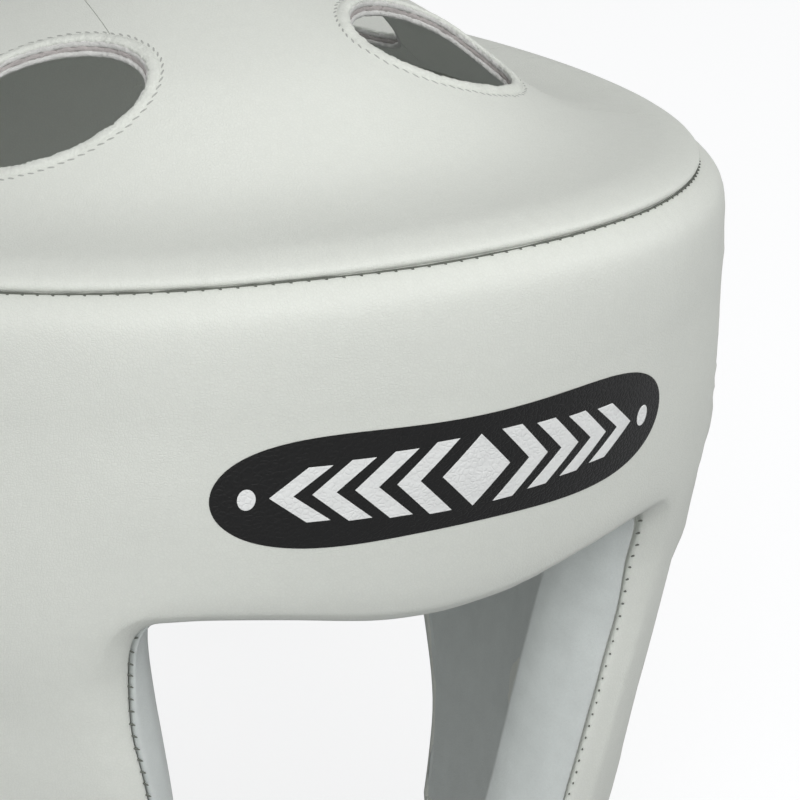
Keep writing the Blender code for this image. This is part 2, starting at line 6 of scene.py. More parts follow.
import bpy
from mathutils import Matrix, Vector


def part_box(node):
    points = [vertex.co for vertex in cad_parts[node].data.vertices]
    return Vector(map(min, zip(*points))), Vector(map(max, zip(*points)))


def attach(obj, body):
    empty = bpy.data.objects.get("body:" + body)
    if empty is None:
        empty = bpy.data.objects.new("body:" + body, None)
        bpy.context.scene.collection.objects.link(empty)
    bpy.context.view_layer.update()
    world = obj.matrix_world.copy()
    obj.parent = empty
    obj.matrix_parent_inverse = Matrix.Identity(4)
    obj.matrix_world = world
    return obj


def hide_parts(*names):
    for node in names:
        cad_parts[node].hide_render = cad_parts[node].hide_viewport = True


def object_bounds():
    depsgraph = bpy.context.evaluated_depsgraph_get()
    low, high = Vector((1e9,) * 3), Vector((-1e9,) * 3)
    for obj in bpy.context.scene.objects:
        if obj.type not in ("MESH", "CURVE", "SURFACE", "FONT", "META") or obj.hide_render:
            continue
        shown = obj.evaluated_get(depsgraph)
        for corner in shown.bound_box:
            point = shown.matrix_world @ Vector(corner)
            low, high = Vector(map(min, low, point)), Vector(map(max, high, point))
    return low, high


bl_info = {
    "name": "Padded headgear",
    "version": (1, 0, 0),
    "blender": (4, 5, 0),
    "location": "3D View > Sidebar > Headgear",
    "description": "Builds a padded leather headgear with its lining, seams, vents, closure and chin strap",
    "category": "Object",
}

import math

import bmesh
import bpy
from mathutils import Matrix, Vector, noise
from mathutils.bvhtree import BVHTree
from mathutils.kdtree import KDTree

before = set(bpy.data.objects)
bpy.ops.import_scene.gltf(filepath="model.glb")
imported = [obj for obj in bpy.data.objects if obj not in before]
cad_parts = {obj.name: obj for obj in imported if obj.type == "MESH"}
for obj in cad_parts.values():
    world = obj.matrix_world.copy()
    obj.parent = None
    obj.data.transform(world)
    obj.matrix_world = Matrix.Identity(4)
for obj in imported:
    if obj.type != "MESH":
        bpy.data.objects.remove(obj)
CAD_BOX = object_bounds()
bpy.ops.object.select_all(action="DESELECT")

# Crown, seam and pads, as the frame has them
HALF_WIDTH = 0.111
REACH = 0.131
SEAM_INSET = 0.0056
SEAM_TILT = 0.0288
SEAM_SAG = 0.0085
SEAT_HEIGHT = 0.0207
PAD_THICKNESS = 0.026
BACK_THICKNESS = 0.024
TOP_ROUND = 0.008
CROWN_WALL = 0.0034
CROWN_EDGE = 0.0029
CROWN_DOME = 0.0356
CROWN_TURN = math.radians(-8.5)
SIDE_ANGLE = 119.0
GIRTH = ((-0.05, 0.930, 0.985, 0.985), (0.00, 0.938, 0.997, 0.992), (0.09, 0.956, 1.000, 1.000),
         (0.21, 0.998, 0.980, 1.000), (0.29, 1.017, 0.950, 0.990), (0.36, 1.027, 0.918, 0.972),
         (0.45, 1.012, 0.880, 0.943), (0.53, 0.986, 0.860, 0.915), (0.60, 0.961, 0.841, 0.890),
         (0.68, 0.933, 0.814, 0.860), (0.76, 0.903, 0.786, 0.830), (0.88, 0.861, 0.752, 0.790),
         (1.00, 0.818, 0.720, 0.750))
CHEEK_DROP = 0.216
CHEEK_THICKNESS = 0.023

# The finished crown differs from the frame's: it is lower at the foot of its dome, its edge puffs up
# and rolls over the seam, and its sides sink over the ears
CROWN_RISES = (0.84, 1.00, 0.84, 0.58, 0.11, 0.00, 0.11)
CROWN_PUFF = 0.0012
PUFF_SPREAD = 0.014
SOFT_EDGE = 0.008
EDGE_ROLL = 0.004
EDGE_START = 0.8
SIDE_DIP = 0.0034
DIP_START = 0.45
DIP_SPAN = 0.5
DIP_FRONT = 58
DIP_BACK = 170

# How near to the curved wall, and how square to it, a face has to be to be laid onto it
WALL_NEAR = 0.0004
WALL_FADE = 0.0006
WALL_SQUARE = 0.985
WALL_LEAN = 0.012

# The wide faces beside the ears: turns from the front in degrees, and depths below the seam
SIDE_FIRST = 54
SIDE_LAST = 115
SIDE_TOP = 0.014
SIDE_BOTTOM = 0.115
SIDE_NEAR = 0.006

# Ear holes
EAR_BACK = 0.006
EAR_DROP = 0.118
EAR_WIDTH = 0.030
EAR_LENGTH = 0.046

# Vents and the side strips between them
VENT_LENGTH = 0.0464
VENT_WIDTH = 0.030
VENT_ACROSS = 0.0405
VENT_ALONG = 0.041
VENT_SWING = math.radians(44)
VENT_CLEAR = 0.0005
STRIP_HALF = 0.024
STRIP_OUTLINE = ((0.0, 0.94), (1.2, 0.86), (1.95, 0.64), (6.0, 1.25))
STRIP_GAP = 0.00007

SIDES = ((1, "left"), (-1, "right"))
UP = Vector((0, 0, 1))
CAGE_STEP = 0.85


class HeadgearSizes(bpy.types.PropertyGroup):
    stitch_pitch: bpy.props.FloatProperty(
        name="Stitch pitch", description="Distance from one stitch to the next",
        default=0.0029, min=0.002, max=0.006, unit="LENGTH")
    seam_pitch: bpy.props.FloatProperty(
        name="Crown seam pitch", description="Distance between the stitches of the crown seam",
        default=0.0031, min=0.002, max=0.006, unit="LENGTH")
    thread: bpy.props.FloatProperty(
        name="Thread", description="Thickness of the sewing thread",
        default=0.0005, min=0.0003, max=0.001, unit="LENGTH")
    emblem_width: bpy.props.FloatProperty(
        name="Emblem width", description="Width of the printed emblem along the forehead",
        default=0.098, min=0.04, max=0.12, unit="LENGTH")
    emblem_height: bpy.props.FloatProperty(
        name="Emblem height", description="Height of the printed emblem",
        default=0.026, min=0.01, max=0.04, unit="LENGTH")
    emblem_drop: bpy.props.FloatProperty(
        name="Emblem drop", description="How far the emblem's middle lies below the crown seam",
        default=0.041, min=0.02, max=0.06, unit="LENGTH")


class HeadgearColours(bpy.types.PropertyGroup):
    leather: bpy.props.FloatVectorProperty(
        name="Leather", description="White leather of the pads and the crown",
        default=(0.70, 0.72, 0.67), size=3, min=0, max=1, subtype="COLOR")
    suede: bpy.props.FloatVectorProperty(
        name="Suede", description="Pale suede of the lining",
        default=(0.60, 0.635, 0.62), size=3, min=0, max=1, subtype="COLOR")
    raw_edge: bpy.props.FloatVectorProperty(
        name="Raw edge", description="Cut edges of the leather layers round the vents",
        default=(0.66, 0.66, 0.64), size=3, min=0, max=1, subtype="COLOR")
    thread: bpy.props.FloatVectorProperty(
        name="Thread", description="Sewing thread of the lining",
        default=(0.60, 0.61, 0.58), size=3, min=0, max=1, subtype="COLOR")
    dark: bpy.props.FloatVectorProperty(
        name="Dark print", description="Dark film of the emblem",
        default=(0.010, 0.010, 0.010), size=3, min=0, max=1, subtype="COLOR")
    plastic: bpy.props.FloatVectorProperty(
        name="Plastic", description="Moulded slider on the chin strap",
        default=(0.02, 0.02, 0.021), size=3, min=0, max=1, subtype="COLOR")


# Hands: selecting, editing and finishing

def pick(*pieces):
    """Selects these pieces alone and makes the first one active."""
    bpy.ops.object.select_all(action="DESELECT")
    for piece in pieces:
        piece.select_set(True)
    bpy.context.view_layer.objects.active = pieces[0]


def added(name):
    """Names the piece that a primitive operator has just added."""
    piece = bpy.context.active_object
    piece.name = name
    return piece


def frame_copy(node, name):
    """Copies a solid of the frame, welded and turned back into four-sided faces."""
    piece = bpy.data.objects.new(name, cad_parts[node].data.copy())
    bpy.context.scene.collection.objects.link(piece)
    piece.data.materials.clear()
    pick(piece)
    bpy.ops.mesh.customdata_custom_splitnormals_clear()
    bpy.ops.object.mode_set(mode="EDIT")
    bpy.ops.mesh.select_all(action="SELECT")
    bpy.ops.mesh.remove_doubles(threshold=0.00002)
    bpy.ops.mesh.tris_convert_to_quads(
        face_threshold=math.radians(60), shape_threshold=math.radians(90), topology_influence=1.0)
    bpy.ops.object.mode_set(mode="OBJECT")
    return piece


def modify(piece, kind, **values):
    """Adds one modifier with these values and applies it."""
    pick(piece)
    modifier = piece.modifiers.new(kind.lower(), kind)
    for key, value in values.items():
        setattr(modifier, key, value)
    bpy.ops.object.modifier_apply(modifier=modifier.name)


def bevelled(piece, width, segments, angle):
    modify(piece, "BEVEL", width=width, segments=segments,
           limit_method="ANGLE", angle_limit=math.radians(angle))


def subdivide(piece, levels, rounds=0):
    """Subdivides a piece. With rounds, its cage is drawn out first, so that the face passes through it."""
    aims = [vertex.co.copy() for vertex in piece.data.vertices]
    for _ in range(rounds):
        trial = piece.copy()
        trial.data = piece.data.copy()
        bpy.context.scene.collection.objects.link(trial)
        modify(trial, "SUBSURF", levels=2, render_levels=2)
        for vertex, aim, reached in zip(piece.data.vertices, aims, trial.data.vertices):
            vertex.co += (aim - reached.co) * CAGE_STEP
        drop(trial)
    modify(piece, "SUBSURF", levels=levels, render_levels=levels)


def unevened(piece, strength, size):
    """Gives stuffed leather its slight, slow unevenness."""
    cloud = bpy.data.textures.new(piece.name + "_cloud", "CLOUDS")
    cloud.noise_scale = size
    cloud.noise_depth = 1
    modify(piece, "DISPLACE", texture=cloud, texture_coords="LOCAL", strength=strength, mid_level=0.5)


def sharp_places(piece, angle):
    """Places of the corners and edges of a piece that its leather turns sharply over."""
    data = bmesh.new()
    data.from_mesh(piece.data)
    places = []
    for edge in data.edges:
        if edge.is_manifold and edge.calc_face_angle() > math.radians(angle):
            a, b = (vertex.co for vertex in edge.verts)
            steps = max(int((b - a).length / 0.002), 1)
            places += [a.lerp(b, i / steps) for i in range(steps + 1)]
    data.free()
    return places


def relaxed(piece, edges, reach, repeat, under_seam=0.0):
    """Smooths a piece where it is farther than a reach from its edges, below the crown seam."""
    tree = KDTree(len(edges))
    for index, place in enumerate(edges):
        tree.insert(place, index)
    tree.balance()
    pick(piece)
    bpy.ops.object.mode_set(mode="EDIT")
    bpy.ops.mesh.select_mode(type="VERT")
    bpy.ops.mesh.select_all(action="DESELECT")
    bpy.ops.object.mode_set(mode="OBJECT")
    for vertex in piece.data.vertices:
        turn = math.atan2(vertex.co.x, -vertex.co.y)
        low = vertex.co.z < seam_height(turn) - SEAT_HEIGHT - under_seam
        vertex.select = low and tree.find(vertex.co)[2] > reach
    bpy.ops.object.mode_set(mode="EDIT")
    bpy.ops.mesh.vertices_smooth(factor=0.5, repeat=repeat)
    bpy.ops.object.mode_set(mode="OBJECT")


def smooth(piece, angle=None):
    pick(piece)
    if angle is None:
        bpy.ops.object.shade_smooth()
    else:
        bpy.ops.object.shade_smooth_by_angle(angle=math.radians(angle))


def settle(piece, material, nodes=()):
    """Freezes the place of a finished piece and gives it its material and its part of the frame."""
    pick(piece)
    bpy.ops.object.transform_apply(location=True, rotation=True, scale=True)
    piece.data.materials.clear()
    piece.data.materials.append(material)
    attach(piece, "root")
    if nodes:
        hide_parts(*nodes)
    return piece


def joined(name, pieces):
    pick(*pieces)
    bpy.ops.object.join()
    return added(name)


# Shape of the crown and its seam

def through(values, place):
    """Smooth curve through evenly counted values, read at a fractional place."""
    last = len(values) - 1
    index = max(min(int(place), last - 1), 0)
    part = place - index
    here, there = values[index], values[index + 1]
    before = values[index - 1] if index > 0 else 2 * here - there
    after = values[index + 2] if index + 2 <= last else 2 * there - here
    return 0.5 * (2 * here + (there - before) * part
                  + (2 * before - 5 * here + 4 * there - after) * part ** 2
                  + (3 * here - before - 3 * there + after) * part ** 3)


def seam_height(turn):
    return -SEAM_TILT * 0.5 * (1 - math.cos(turn)) - SEAM_SAG * math.sin(turn) ** 2


def girth(height, forward):
    """Half width and reach of the outer face at a height, before the seat height is taken off."""
    drops = [row[0] for row in GIRTH]
    share = min(max(-height / CHEEK_DROP, drops[0]), drops[-1])
    index = max(i for i in range(len(drops) - 1) if drops[i] <= share)
    place = index + (share - drops[index]) / (drops[index + 1] - drops[index])
    width = through([row[1] for row in GIRTH], place) * HALF_WIDTH
    return width, through([row[2 if forward else 3] for row in GIRTH], place) * REACH


def seam_reach(turn, inset=SEAM_INSET):
    """Half width and reach of the oval that the crown seam follows at a turn from the front."""
    width, reach = girth(seam_height(turn), math.cos(turn) > 0)
    return width - inset, reach - inset


def wall_depth(point):
    """How deep a point lies under the outer face of the pads, and the half width and reach there."""
    width, reach = girth(point.z + SEAT_HEIGHT, point.y < 0)
    depth = 0.0
    for _ in range(6):
        share = math.hypot(point.x / (width - depth), point.y / (reach - depth))
        depth += (1 - share) * ((width + reach) / 2 - depth)
    return depth, width, reach


def wall_normal(point):
    depth, width, reach = wall_depth(point)
    turn = math.atan2(point.x / (width - depth), -point.y / (reach - depth))
    height = point.z + SEAT_HEIGHT
    (wide, far), (narrow, near) = girth(height + 0.002, point.y < 0), girth(height - 0.002, point.y < 0)
    along = Vector((math.cos(turn) * width, math.sin(turn) * reach, 0))
    up = Vector(((wide - narrow) * math.sin(turn), (near - far) * math.cos(turn), 0.004))
    return along.cross(up).normalized()


def laid_on_wall(vertex, aim, weight):
    depth, width, reach = wall_depth(vertex.co)
    x, y = vertex.co.x, vertex.co.y
    vertex.co.x += (x / (width - depth) * (width - aim) - x) * weight
    vertex.co.y += (y / (reach - depth) * (reach - aim) - y) * weight


def pad_thickness(height):
    share = min(max(-height / CHEEK_DROP, 0.0), 1.0)
    return PAD_THICKNESS + (CHEEK_THICKNESS - PAD_THICKNESS) * share


def evened(piece, cad):
    """Lays the flat facets of a padded piece onto the curved wall that its solid was cut from."""
    for vertex in piece.data.vertices:
        place, normal, index, distance = cad.find_nearest(vertex.co)
        if distance > 0.004 or abs(normal.z) > 0.5:
            continue
        thickness = pad_thickness(place.z + SEAT_HEIGHT)
        lay = wall_depth(place)[0]
        aim = 0.0 if lay < thickness / 2 else thickness
        square = abs(normal.dot(wall_normal(place)))
        weight = 1 - min(max((abs(lay - aim) - WALL_NEAR) / WALL_FADE, 0.0), 1.0)
        weight *= min(max((square - WALL_SQUARE) / WALL_LEAN, 0.0), 1.0)
        if weight > 0:
            laid_on_wall(vertex, aim, weight)


def sides_evened(piece):
    """Lays the wide faces beside the ears evenly onto the curved wall, clear of every edge."""
    for vertex in piece.data.vertices:
        place = vertex.co
        turn = math.degrees(math.atan2(abs(place.x), -place.y))
        below = seam_height(math.radians(turn)) - SEAT_HEIGHT - place.z
        side = min((turn - SIDE_FIRST) / 6, (SIDE_LAST - turn) / 4,
                   (below - SIDE_TOP) / 0.006, (SIDE_BOTTOM - below) / 0.02)
        ear = math.hypot((place.y - EAR_BACK) / (EAR_WIDTH + 0.004),
                         (place.z + SEAT_HEIGHT + EAR_DROP) / (EAR_LENGTH + 0.004))
        if side > 0 and ear > 0.5:
            depth, thickness = wall_depth(place)[0], pad_thickness(place.z + SEAT_HEIGHT)
            aim = 0.0 if depth < thickness / 2 else thickness
            if abs(depth - aim) < SIDE_NEAR:
                laid_on_wall(vertex, aim, min(side, 1.0))


def creased(piece, angle, centre, width, length):
    """Marks the sharp edges inside an upright oval, seen from the side, so that they stay sharp."""
    data = bmesh.new()
    data.from_mesh(piece.data)
    crease = data.edges.layers.float.get("crease_edge") or data.edges.layers.float.new("crease_edge")
    for edge in data.edges:
        middle = (edge.verts[0].co + edge.verts[1].co) / 2
        if math.hypot((middle.y - centre[0]) / width, (middle.z - centre[1]) / length) < 0.5:
            if edge.is_manifold and edge.calc_face_angle() > math.radians(angle):
                edge[crease] = 1.0
    data.to_mesh(piece.data)
    data.free()


def seam_point(turn, inset=SEAM_INSET):
    """Point of the crown seam at a turn from the front, before the seat height is taken off."""
    width, reach = seam_reach(turn, inset)
    return Vector((width * math.sin(turn), -reach * math.cos(turn), seam_height(turn)))


def pad_top_fall(depth, thickness):
    """How far the rounded top of a pad has fallen at a depth under its outer face."""
    lean = min(abs(1 - depth / (thickness / 2)), 1.0)
    return TOP_ROUND * (1 - math.sqrt(1 - lean ** 2))


def side_dip(share, turn):
    """How far the crown sinks over the ears, between its dome and its rolled edge."""
    across = math.sin(math.pi * min(max((share - DIP_START) / DIP_SPAN, 0.0), 1.0)) ** 2
    angle = abs(math.degrees(math.atan2(math.sin(turn), math.cos(turn))))
    beside = min(max((angle - DIP_FRONT) / 27, 0.0), 1.0) * min(max((DIP_BACK - angle) / 35, 0.0), 1.0)
    return SIDE_DIP * across * beside ** 2 * (3 - 2 * beside)


def crown_height(share, turn):
    """Height of the crown's outer face at a share of the way from its middle to the seam."""
    base = -SEAM_TILT * 0.5 * (1 - share * math.cos(turn)) - SEAM_SAG * share * math.sin(turn) ** 2
    inside = (1 - share) * (HALF_WIDTH - SEAM_INSET)
    edge = CROWN_EDGE + CROWN_PUFF * math.exp(-(max(inside - SOFT_EDGE, 0.0) / PUFF_SPREAD) ** 2)
    if inside < SOFT_EDGE:
        edge *= math.sqrt(1 - (1 - inside / SOFT_EDGE) ** 2)
    return base + edge + CROWN_DOME * through(CROWN_RISES, 1 + share * 4) - side_dip(share, turn)


def crown_under(share, turn):
    """Height of the crown's inner face, clear of the rounded tops of the pads."""
    height = crown_height(share, turn) - CROWN_WALL
    if share > 0.6:
        height -= CROWN_PUFF * min((share - 0.6) / 0.2, 1.0)
    depth = SEAM_INSET + (1 - share) * (HALF_WIDTH - SEAM_INSET)
    angle = abs(math.degrees(math.atan2(math.sin(turn), math.cos(turn))))
    thickness = PAD_THICKNESS if angle <= SIDE_ANGLE + 1.5 else BACK_THICKNESS
    if depth < thickness:
        rest = seam_height(turn) + pad_top_fall(SEAM_INSET, thickness) - pad_top_fall(depth, thickness)
        height = max(height, rest + min(0.0005, (1 - share) * 0.02))
    return height


def crown_place(share, turn, height):
    rim = seam_point(turn)
    return Vector((rim.x * share, rim.y * share, height - SEAT_HEIGHT))


def crown_level(x, y):
    """Height of the crown's outer face over a plan point."""
    turn = math.atan2(x, -y)
    for _ in range(4):
        width, reach = seam_reach(turn)
        turn = math.atan2(x / width, -y / reach)
    share = min(math.hypot(x / width, y / reach), 1.0)
    return crown_height(share, turn) - SEAT_HEIGHT


def crown_face(x, y):
    """Point of the crown's outer face over a plan point, with the outward direction."""
    step = 0.0005
    slope_x = (crown_level(x + step, y) - crown_level(x - step, y)) / (2 * step)
    slope_y = (crown_level(x, y + step) - crown_level(x, y - step)) / (2 * step)
    return Vector((x, y, crown_level(x, y))), Vector((-slope_x, -slope_y, 1)).normalized()


def plan_turned(x, y, swing=CROWN_TURN):
    return (x * math.cos(swing) - y * math.sin(swing), x * math.sin(swing) + y * math.cos(swing))


def vent_outline(side, end, grow, count):
    """Plan points of one vent's oval, grown by a margin."""
    swing = -side * end * VENT_SWING
    points = []
    for i in range(count):
        a = 2 * math.pi * i / count
        x, y = (VENT_LENGTH / 2 + grow) * math.cos(a), (VENT_WIDTH / 2 + grow) * math.sin(a)
        x, y = plan_turned(x, y, swing)
        points.append(plan_turned(side * VENT_ACROSS + x, end * VENT_ALONG + y))
    return points


def strip_outline(side, grow):
    rows = [(STRIP_HALF - grow + across * (VENT_ACROSS - STRIP_HALF), VENT_ALONG * along + grow)
            for across, along in STRIP_OUTLINE]
    points = [(x * side, -y) for x, y in rows] + [(x * side, y) for x, y in reversed(rows)]
    return [plan_turned(x, y) for x, y in points]


def prism(name, outline, low, high):
    """Upright cutter over a plan outline."""
    bpy.ops.mesh.primitive_circle_add(vertices=len(outline), radius=1, fill_type="NGON")
    piece = added(name)
    for vertex, (x, y) in zip(piece.data.vertices, outline):
        vertex.co = (x, y, low)
    bpy.ops.object.mode_set(mode="EDIT")
    bpy.ops.mesh.select_all(action="SELECT")
    bpy.ops.mesh.extrude_region_move(TRANSFORM_OT_translate={"value": (0, 0, high - low)})
    bpy.ops.mesh.select_all(action="SELECT")
    bpy.ops.mesh.normals_make_consistent(inside=False)
    bpy.ops.object.mode_set(mode="OBJECT")
    return piece


def trim(piece, tool, operation="DIFFERENCE"):
    modify(piece, "BOOLEAN", object=tool, operation=operation, solver="EXACT")


def drop(*pieces):
    pick(*pieces)
    bpy.ops.object.delete()


# Finding places on a finished piece

def skin_of(*pieces):
    """Tree of the faces of some pieces, for finding places on them."""
    points, faces = [], []
    for piece in pieces:
        start = len(points)
        points += [vertex.co.copy() for vertex in piece.data.vertices]
        faces += [[start + i for i in face.vertices] for face in piece.data.polygons]
    return BVHTree.FromPolygons(points, faces)


def seen_from(skin, start, aim):
    """Where a straight line first meets a skin, with the outward direction there."""
    direction = (Vector(aim) - Vector(start)).normalized()
    place, normal, index, distance = skin.ray_cast(Vector(start), direction)
    if place is None:
        raise RuntimeError("no face of the piece lies on this line")
    return place, normal


def around(skin, turn, height):
    """Place on the outside of a skin at a turn from the front and a height."""
    out = Vector((math.sin(turn), -math.cos(turn), 0))
    return seen_from(skin, out * 0.4 + Vector((0, 0, height)), (0, 0, height))


def sharp_chains(piece, angle=50, bend=42):
    """Chains of points along the sharp edges of a piece, parted at its corners."""
    data = bmesh.new()
    data.from_mesh(piece.data)
    data.edges.ensure_lookup_table()
    sharp = [edge.index for edge in data.edges
             if edge.is_manifold and edge.calc_face_angle() > math.radians(angle)]
    fresh = set(sharp)
    chains = []
    for index in sharp:
        if index not in fresh:
            continue
        fresh.discard(index)
        chain = list(data.edges[index].verts)
        for _ in range(2):
            going = True
            while going:
                going = False
                run = (chain[-1].co - chain[-2].co).normalized()
                for edge in sorted(chain[-1].link_edges, key=lambda item: item.index):
                    if edge.index not in fresh:
                        continue
                    aim = edge.other_vert(chain[-1])
                    if run.dot((aim.co - chain[-1].co).normalized()) > math.cos(math.radians(bend)):
                        fresh.discard(edge.index)
                        chain.append(aim)
                        going = True
                        break
            chain.reverse()
        chains.append([vertex.co.copy() for vertex in chain])
    data.free()
    return chains


def chain_length(chain):
    return sum((there - here).length for here, there in zip(chain, chain[1:]))


def softened(points, rounds=2, closed=False):
    """Evens out small kinks of a path without moving its ends."""
    for _ in range(rounds):
        count = len(points)
        moved = []
        for i, point in enumerate(points):
            if not closed and i in (0, count - 1):
                moved.append(point)
            else:
                moved.append(point * 0.5 + (points[i - 1] + points[(i + 1) % count]) * 0.25)
        points = moved
    return points


def wrap_map(piece):
    """UV map in metres: along the crown seam, and away from it over the surface."""
    layer = piece.data.uv_layers.new(name="wrap")
    for face in piece.data.polygons:
        first = None
        for corner in face.loop_indices:
            place = piece.data.vertices[piece.data.loops[corner].vertex_index].co
            turn = math.atan2(place.x, -place.y)
            if first is None:
                first = turn
            while turn - first > math.pi:
                turn -= 2 * math.pi
            while turn - first < -math.pi:
                turn += 2 * math.pi
            width, reach = seam_reach(turn)
            span = (width + reach) / 2
            rim = Vector((width * math.sin(turn), -reach * math.cos(turn), seam_height(turn) - SEAT_HEIGHT))
            layer.data[corner].uv = (turn * span, (place - rim).length)


# Node groups for the finishes

def new_group(name, inputs, outputs):
    group = bpy.data.node_groups.new(name, "ShaderNodeTree")
    for label, kind, value in inputs:
        socket = group.interface.new_socket(name=label, in_out="INPUT", socket_type=kind)
        if value is not None:
            socket.default_value = value
    for label, kind in outputs:
        group.interface.new_socket(name=label, in_out="OUTPUT", socket_type=kind)
    start = group.nodes.new("NodeGroupInput")
    stop = group.nodes.new("NodeGroupOutput")
    return group, start, stop


def node(tree, kind, **values):
    """Adds a node. Names in small letters are its properties, the others its inputs."""
    made = tree.nodes.new(kind)
    for key, value in values.items():
        if hasattr(made, key):
            setattr(made, key, value)
        else:
            made.inputs[key.replace("_", " ")].default_value = value
    return made


def maths(tree, operation, first, second=None, third=None, clamp=False):
    made = node(tree, "ShaderNodeMath", operation=operation, use_clamp=clamp)
    for socket, value in zip(made.inputs, (first, second, third)):
        if value is None:
            continue
        if isinstance(value, (int, float)):
            socket.default_value = value
        else:
            tree.links.new(value, socket)
    return made.outputs[0]


def ranged(tree, value, low, high, to_low=0.0, to_high=1.0, soft=False):
    made = node(tree, "ShaderNodeMapRange", interpolation_type="SMOOTHSTEP" if soft else "LINEAR")
    made.inputs["From Min"].default_value = low
    made.inputs["From Max"].default_value = high
    made.inputs["To Min"].default_value = to_low
    made.inputs["To Max"].default_value = to_high
    tree.links.new(value, made.inputs["Value"])
    return made.outputs["Result"]


def grain_group():
    """Leather grain: flat pebbles parted by fine creases, with finer pores in them."""
    group, start, stop = new_group(
        "Leather grain",
        [("Vector", "NodeSocketVector", None), ("Scale", "NodeSocketFloat", 900.0),
         ("Drift", "NodeSocketFloat", 0.0006)],
        [("Height", "NodeSocketFloat"), ("Crease", "NodeSocketFloat")])
    link = group.links.new
    warp = node(group, "ShaderNodeTexNoise", noise_dimensions="3D", Scale=260.0, Detail=2.0)
    link(start.outputs["Vector"], warp.inputs["Vector"])
    centred = node(group, "ShaderNodeVectorMath", operation="SUBTRACT")
    link(warp.outputs["Color"], centred.inputs[0])
    centred.inputs[1].default_value = (0.5, 0.5, 0.5)
    pushed = node(group, "ShaderNodeVectorMath", operation="SCALE")
    link(centred.outputs[0], pushed.inputs[0])
    link(start.outputs["Drift"], pushed.inputs["Scale"])
    place = node(group, "ShaderNodeVectorMath", operation="ADD")
    link(start.outputs["Vector"], place.inputs[0])
    link(pushed.outputs[0], place.inputs[1])
    cells = node(group, "ShaderNodeTexVoronoi", feature="DISTANCE_TO_EDGE")
    link(place.outputs[0], cells.inputs["Vector"])
    link(start.outputs["Scale"], cells.inputs["Scale"])
    pebble = ranged(group, cells.outputs["Distance"], 0.0, 0.22, soft=True)
    pores = node(group, "ShaderNodeTexNoise", noise_dimensions="3D", Detail=3.0, Roughness=0.6)
    link(place.outputs[0], pores.inputs["Vector"])
    link(maths(group, "MULTIPLY", start.outputs["Scale"], 2.6), pores.inputs["Scale"])
    fine = maths(group, "MULTIPLY", pores.outputs["Fac"], 0.45)
    link(maths(group, "MULTIPLY_ADD", pebble, 0.55, fine), stop.inputs["Height"])
    link(maths(group, "SUBTRACT", 1.0, pebble), stop.inputs["Crease"])
    return group


def tone_group():
    """Slow change of tone over the hide, a factor near one."""
    group, start, stop = new_group(
        "Slow tone",
        [("Vector", "NodeSocketVector", None), ("Scale", "NodeSocketFloat", 22.0),
         ("Amount", "NodeSocketFloat", 0.04)],
        [("Factor", "NodeSocketFloat"), ("Cloud", "NodeSocketFloat")])
    cloud = node(group, "ShaderNodeTexNoise", noise_dimensions="3D", Detail=4.0, Roughness=0.55)
    group.links.new(start.outputs["Vector"], cloud.inputs["Vector"])
    group.links.new(start.outputs["Scale"], cloud.inputs["Scale"])
    centred = maths(group, "SUBTRACT", cloud.outputs["Fac"], 0.5)
    factor = maths(group, "MULTIPLY_ADD", centred, start.outputs["Amount"], 1.0)
    group.links.new(factor, stop.inputs["Factor"])
    group.links.new(cloud.outputs["Fac"], stop.inputs["Cloud"])
    return group


def nap_group():
    """Suede nap: short fibres brushed in patches."""
    group, start, stop = new_group(
        "Suede nap",
        [("Vector", "NodeSocketVector", None), ("Scale", "NodeSocketFloat", 2200.0)],
        [("Height", "NodeSocketFloat"), ("Shade", "NodeSocketFloat")])
    link = group.links.new
    fibre = node(group, "ShaderNodeTexNoise", noise_dimensions="3D",
                 Detail=4.0, Roughness=0.7, Distortion=0.6)
    link(start.outputs["Vector"], fibre.inputs["Vector"])
    link(start.outputs["Scale"], fibre.inputs["Scale"])
    patch = node(group, "ShaderNodeTexNoise", noise_dimensions="3D", Scale=160.0, Detail=3.0)
    link(start.outputs["Vector"], patch.inputs["Vector"])
    link(fibre.outputs["Fac"], stop.inputs["Height"])
    link(maths(group, "MULTIPLY_ADD", patch.outputs["Fac"], 0.5,
               maths(group, "MULTIPLY", fibre.outputs["Fac"], 0.5)), stop.inputs["Shade"])
    return group


